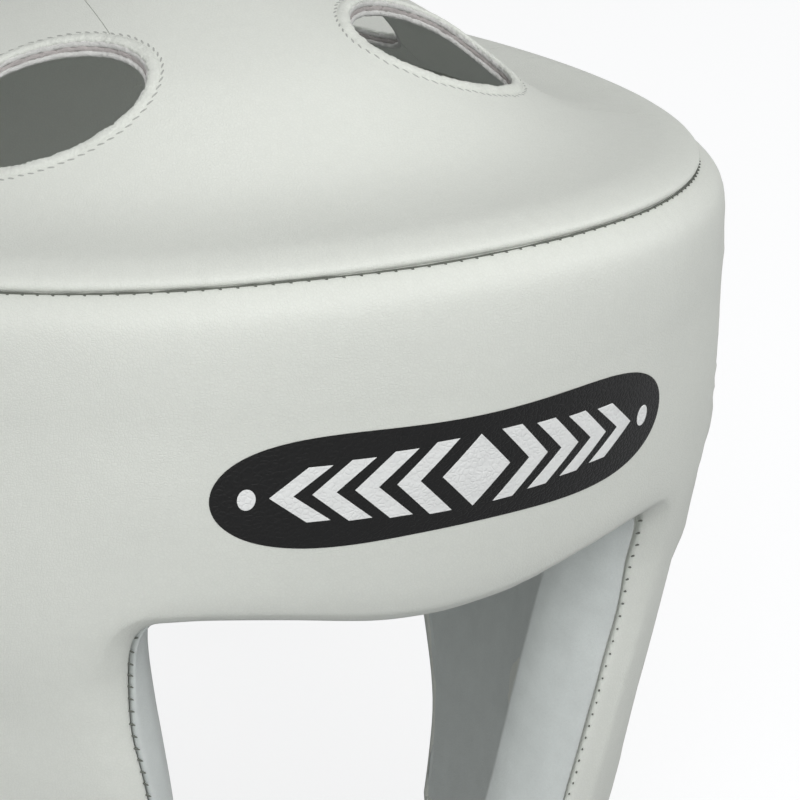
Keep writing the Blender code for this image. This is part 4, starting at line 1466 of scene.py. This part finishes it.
class HEADGEAR_OT_straps(bpy.types.Operator):
    """Builds the closure strap at the back and the chin strap with its slider"""
    bl_idname = "headgear.straps"
    bl_label = "Straps"

    def sew(self, piece, name, edges):
        """Two rows of stitches along the outer face of a strap, and one across each end."""
        middle = Vector((0, 0, -0.12))
        edges.sort(key=lambda chain: -sum((point - middle).length for point in chain) / len(chain))
        one, other = edges[:2]
        if (one[0] - other[0]).length > (one[0] - other[-1]).length:
            other.reverse()
        width = (one[0] - other[0]).length
        skin = skin_of(piece)
        rows = []
        for share in (0.0030 / width, 1 - 0.0030 / width):
            path = [a.lerp(b, share) for a, b in zip(one, other)]
            rows += laid(skin, path, 0.0032)[1:-1]
        for end, turned_in in ((0, 1), (-1, -1)):
            for setback in (0.0035, 0.0125):
                run = (one[end + turned_in] - one[end]).normalized() * setback
                a = one[end] + run + (other[end] - one[end]) * (0.0030 / width)
                b = other[end] + run + (one[end] - other[end]) * (0.0030 / width)
                rows += laid(skin, [a, a.lerp(b, 0.5), b], 0.0032)
        stitch_row(name + "_stitches", rows, 0.0021, 0.0005, 0.0001, FINISH["thread"])

    def execute(self, context):
        for cad, name in (("back_strap_left", "closure_left"), ("back_strap_right", "closure_right"),
                          ("chin_strap", "chin_band")):
            piece = frame_copy(cad, name)
            edges = [chain for chain in sharp_chains(piece) if chain_length(chain) > 0.09]
            bevelled(piece, 0.0006, 2, 50)
            subdivide(piece, 1)
            smooth(piece, 60)
            settle(piece, FINISH["strap"], [cad])
            self.sew(piece, name, edges)
        piece = frame_copy("chin_buckle", "slider")
        bevelled(piece, 0.0005, 3, 40)
        smooth(piece, 40)
        settle(piece, FINISH["plastic"], ["chin_buckle"])
        return {"FINISHED"}


class HEADGEAR_PT_panel(bpy.types.Panel):
    """Lists the steps that build the headgear"""
    bl_idname = "HEADGEAR_PT_panel"
    bl_label = "Headgear"
    bl_space_type = "VIEW_3D"
    bl_region_type = "UI"
    bl_category = "Headgear"

    def draw(self, context):
        for group in (context.scene.headgear_sizes, context.scene.headgear_colours):
            for key in group.__annotations__:
                self.layout.prop(group, key)
        for step in STEPS:
            self.layout.operator(step.bl_idname)


STEPS = (
    HEADGEAR_OT_stage,
    HEADGEAR_OT_front_shell,
    HEADGEAR_OT_suede_lining,
    HEADGEAR_OT_back_pad,
    HEADGEAR_OT_crown,
    HEADGEAR_OT_crown_seam,
    HEADGEAR_OT_vent_rims,
    HEADGEAR_OT_strip_seams,
    HEADGEAR_OT_ear_rims,
    HEADGEAR_OT_emblem,
    HEADGEAR_OT_straps,
)
CLASSES = (HeadgearSizes, HeadgearColours) + STEPS + (HEADGEAR_PT_panel,)


def register():
    for made in CLASSES:
        bpy.utils.register_class(made)
    bpy.types.Scene.headgear_sizes = bpy.props.PointerProperty(type=HeadgearSizes)
    bpy.types.Scene.headgear_colours = bpy.props.PointerProperty(type=HeadgearColours)


def unregister():
    del bpy.types.Scene.headgear_colours
    del bpy.types.Scene.headgear_sizes
    for made in reversed(CLASSES):
        bpy.utils.unregister_class(made)


def main():
    register()
    build_groups()
    build_finishes(bpy.context.scene.headgear_colours)
    bpy.ops.headgear.stage()
    bpy.ops.headgear.front_shell()
    bpy.ops.headgear.suede_lining()
    bpy.ops.headgear.back_pad()
    bpy.ops.headgear.crown()
    bpy.ops.headgear.crown_seam()
    bpy.ops.headgear.vent_rims()
    bpy.ops.headgear.strip_seams()
    bpy.ops.headgear.ear_rims()
    bpy.ops.headgear.emblem()
    bpy.ops.headgear.straps()
    bpy.ops.object.select_all(action="DESELECT")


if __name__ == "__main__":
    main()
